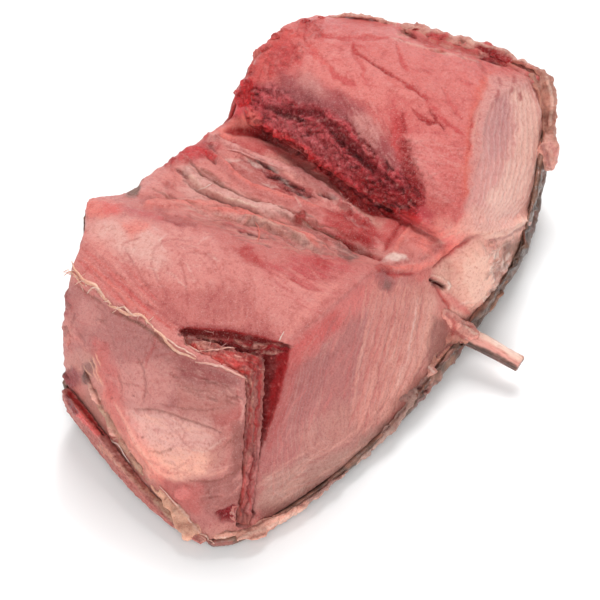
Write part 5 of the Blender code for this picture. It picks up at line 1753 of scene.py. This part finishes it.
def membrane_finish(name):
    """Thin wet skins, paler in places."""
    m = Finish(name, 0.4, 0.15, 0.2)
    paint = m.attribute("paint", True)
    grain = m.noise(0.6, 3.0)
    colour = m.deepen(m.fit(grain, 0.3, 0.7, 0.0, 0.35), paint, "vein")
    colour = m.tint(m.fit(m.noise(2.0), 0.55, 0.8, 0.0, 0.4), colour, "white")
    return m.finish(colour, m.fit(grain, 0.3, 0.7, 0.3, 0.5), m.bump(grain, 0.1))


# Skin, rim, plate and fin


def skin_finish(name):
    """Wet silver-grey fish skin: dark blotches, fine scales, brown and cream where it is torn."""
    m = Finish(name, 0.38, 0.05, 0.22, 0.2, 0.4)
    paint = m.attribute("paint", True)
    scale = m.cells(0.9)
    colour = m.deepen(m.fit(m.noise(2.6, 5.0, 0.65), 0.35, 0.65, 0.55, 0.0), paint, "soot")
    colour = m.tint(m.fit(scale, 0.15, 0.55, 0.30, 0.0), colour, "silver")
    colour = m.tint(m.fit(m.noise(1.1, 3.0), 0.56, 0.72, 0.0, 0.35), colour, "skin_light")
    rough = m.fit(m.noise(1.6), 0.3, 0.7, 0.25, 0.5)
    normal = m.bump(scale, 0.12)
    normal = m.bump(m.noise(1.4, 4.0, 0.6), 0.35, normal)
    return m.finish(colour, rough, normal)


def bone_finish(name, stretch, pores):
    """Cut bone: pores with blood in them, and fibres that run along it."""
    m = Finish(name, 0.45, 0.1, 0.15, 0.2, 0.35)
    paint = m.attribute("paint", True)
    holes = m.fit(m.noise(0.8, 3.0, 0.6), 0.52, 0.38)
    fibres = m.noise(0.7, 4.0, 0.6, stretch)
    colour = m.deepen(m.times(holes, pores), paint, "clot")
    colour = m.deepen(m.fit(fibres, 0.50, 0.34, 0.0, 0.3 + 0.5 * pores), colour, "vein")
    colour = m.tint(m.fit(fibres, 0.56, 0.74, 0.0, 0.25), colour, "cream")
    normal = m.bump(m.noise(0.9, 4.0, 0.6), 0.2 + 0.3 * pores)
    normal = m.bump(fibres, 0.25, normal)
    return m.finish(colour, m.fit(m.noise(1.3), 0.3, 0.7, 0.3, 0.55), normal)


def skin():
    """The skin, mottled all round and marked where it shows."""
    surface = Surface(remeshed("skin", SKIN_VOXEL))
    surface.smooth(3)
    flesh_tree = tree_of(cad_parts["flesh"].data)
    hidden = surface.covered(flesh_tree, SKIN_COVER)
    low = surface.co[:, 2] < SKIN_FOOT
    hidden = surface.spread(np.maximum(hidden, low), 10) > SKIN_HIDDEN
    surface.co = tucked(surface.co)
    surface.update()
    surface = Surface(thinned_where(surface.mesh, hidden, SKIN_SHARE))
    edge = smooth_step(0.25, 0.75, surface.broad_normal(6)[:, 2])
    mottle = smooth_step(-0.4, 0.5, layered(surface.co, *SKIN_MOTTLE))[:, None]
    colour = blended(PALETTE["skin_grey"], "skin_dark", mottle)
    brown = smooth_step(0.0, 0.5, layered(surface.co, *SKIN_BROWN))[:, None] * 0.5
    colour = blended(colour, "skin_brown", brown)
    stretched = surface.co * SKIN_STRETCH
    for name, size, seed, share in SKIN_TONES:
        cover = smooth_step(0.1, 0.5, layered(stretched, size, seed, 3))[:, None] * share
        colour = blended(colour, name, cover)
    torn = (edge * smooth_step(-0.3, 0.5, layered(surface.co, *SKIN_TORN)))[:, None] * 0.75
    paint = Paint(surface, blended(colour, "tan", torn))
    paint.strokes(SKIN_MARKS, 2.0, soft_share=1.0, taper=False)
    for flecks in SKIN_FLECKS:
        paint.flecks(*flecks, 0.2)
    above = smooth_step(2.0, 8.0, surface.co[:, 2])
    folds = layered(surface.co * SKIN_SQUASH, *SKIN_FOLDS)
    fine = layered(surface.co, *SKIN_GRAIN)
    against = surface.spread(surface.covered(flesh_tree, SKIN_COVER), 2)
    paint.height += above * (folds * 0.8 + fine * 0.25) * (1 - against)
    paint.apply(WALL_GAIN * 0.4)
    return show("fish_skin", surface.mesh, skin_finish("wet_skin"), "skin", "skin")


def bone_piece(node, base, marks, voxel, pores, relief, size, grain, rag=1.0, flecks=(), flank=None):
    """A bone's cut piece; if a side shade colour is given, its steep sides are darkened with it, partly their
    own darker colour and partly painted shade.
    """
    surface = Surface(remeshed(node, voxel))
    surface.smooth(3)
    surface.co = tucked(surface.co)
    surface.update()
    paint = Paint(surface, np.tile(PALETTE[base], (len(surface.co), 1)))
    paint.strokes(marks, rag, 1.5, 1.0, False)
    for row in flecks:
        paint.flecks(*row, 0.25)
    if flank:
        side = 1 - smooth_step(0.1, 0.5, surface.spread(surface.normal, 4)[:, 2])
        side *= 0.6 + 0.4 * smooth_step(-0.3, 0.3, layered(surface.co, 2.0, 65.0))
        paint.colour += (side * 0.9)[:, None] * (PALETTE[flank] - paint.colour)
    rough = layered(surface.co * grain, size, 61.0, 3)
    pits = np.minimum(creased(surface.co * grain, size * 1.6, 63.0, 2) - 0.35, 0)
    paint.height += rough * relief * 0.6 + pits * relief * 1.6
    paint.apply(WALL_GAIN)
    return show(node + "_cut", surface.mesh, bone_finish(node + "_cut_finish", grain, pores), node, node)


# The floor, the lights and the camera


def stage():
    """A wide pale floor, three lamps and a white sky."""
    floor_mesh = bpy.data.meshes.new("floor")
    r = FLOOR_REACH * MM
    floor_mesh.from_pydata([(-r, -r, 0), (r, -r, 0), (r, r, 0), (-r, r, 0)], [], [(0, 1, 2, 3)])
    floor = bpy.data.objects.new("floor", floor_mesh)
    bpy.context.scene.collection.objects.link(floor)
    m = Finish("floor_paint", 0.8)
    colour = m.mix(m.fit(m.noise(FLOOR_CLOUDS), 0.3, 0.7), *FLOOR_TONES)
    floor_mesh.materials.append(m.finish(colour, 0.8, m.bump(m.noise(FLOOR_GRAIN), 0.02)))
    for name, way, distance, size, power in LIGHTS:
        lamp = bpy.data.lights.new(name, "AREA")
        lamp.shape = "DISK"
        lamp.size = size
        lamp.energy = power
        light = bpy.data.objects.new(name, lamp)
        bpy.context.scene.collection.objects.link(light)
        way = Vector(way).normalized()
        light.location = Vector(VIEW_TARGET) * MM + way * distance
        light.rotation_euler = way.to_track_quat("Z", "Y").to_euler()
    world = bpy.data.worlds.new("surroundings")
    bpy.context.scene.world = world
    world.use_nodes = True
    world.node_tree.nodes["Background"].inputs["Color"].default_value = (1.0, 1.0, 1.0, 1.0)
    world.node_tree.nodes["Background"].inputs["Strength"].default_value = WORLD_STRENGTH
    bpy.context.scene.view_settings.view_transform = "Standard"


def camera():
    """The fixed view's camera."""
    data = bpy.data.cameras.new("view")
    data.sensor_width = SENSOR
    data.lens = SENSOR * VIEW_SCALE * VIEW_DISTANCE / VIEW_SIZE
    eye = bpy.data.objects.new("view", data)
    bpy.context.scene.collection.objects.link(eye)
    eye.location = Vector(EYE) * MM
    eye.rotation_euler = Vector(BACK).to_track_quat("Z", "Y").to_euler()
    bpy.context.scene.camera = eye


stage()
camera()
meat = flesh()
hide = skin()
rim = bone_piece("collar_bone", "rim_brown", RIM_MARKS, voxel=0.4, pores=0.4, relief=0.5, size=1.2,
                 grain=(1.0, 0.3, 1.0))
plate = bone_piece("bone_plate", "bone_grey", PLATE_MARKS, voxel=0.4, pores=0.4, relief=0.38, size=1.0,
                   grain=(1.0, 1.0, 0.25), rag=3.0, flecks=PLATE_FLECKS)
# The fin's steep sides are darkened, partly as painted shade.
fin = bone_piece("fin_bone", "fin_pink", FIN_MARKS, voxel=0.3, pores=0.0, relief=0.12, size=1.4,
                 grain=(1.0, 0.15, 1.0), flank="skin_dark")
anchors = Anchors([piece.data for piece in (*meat, hide, rim, plate, fin)])
membranes(anchors)
tissue(anchors)
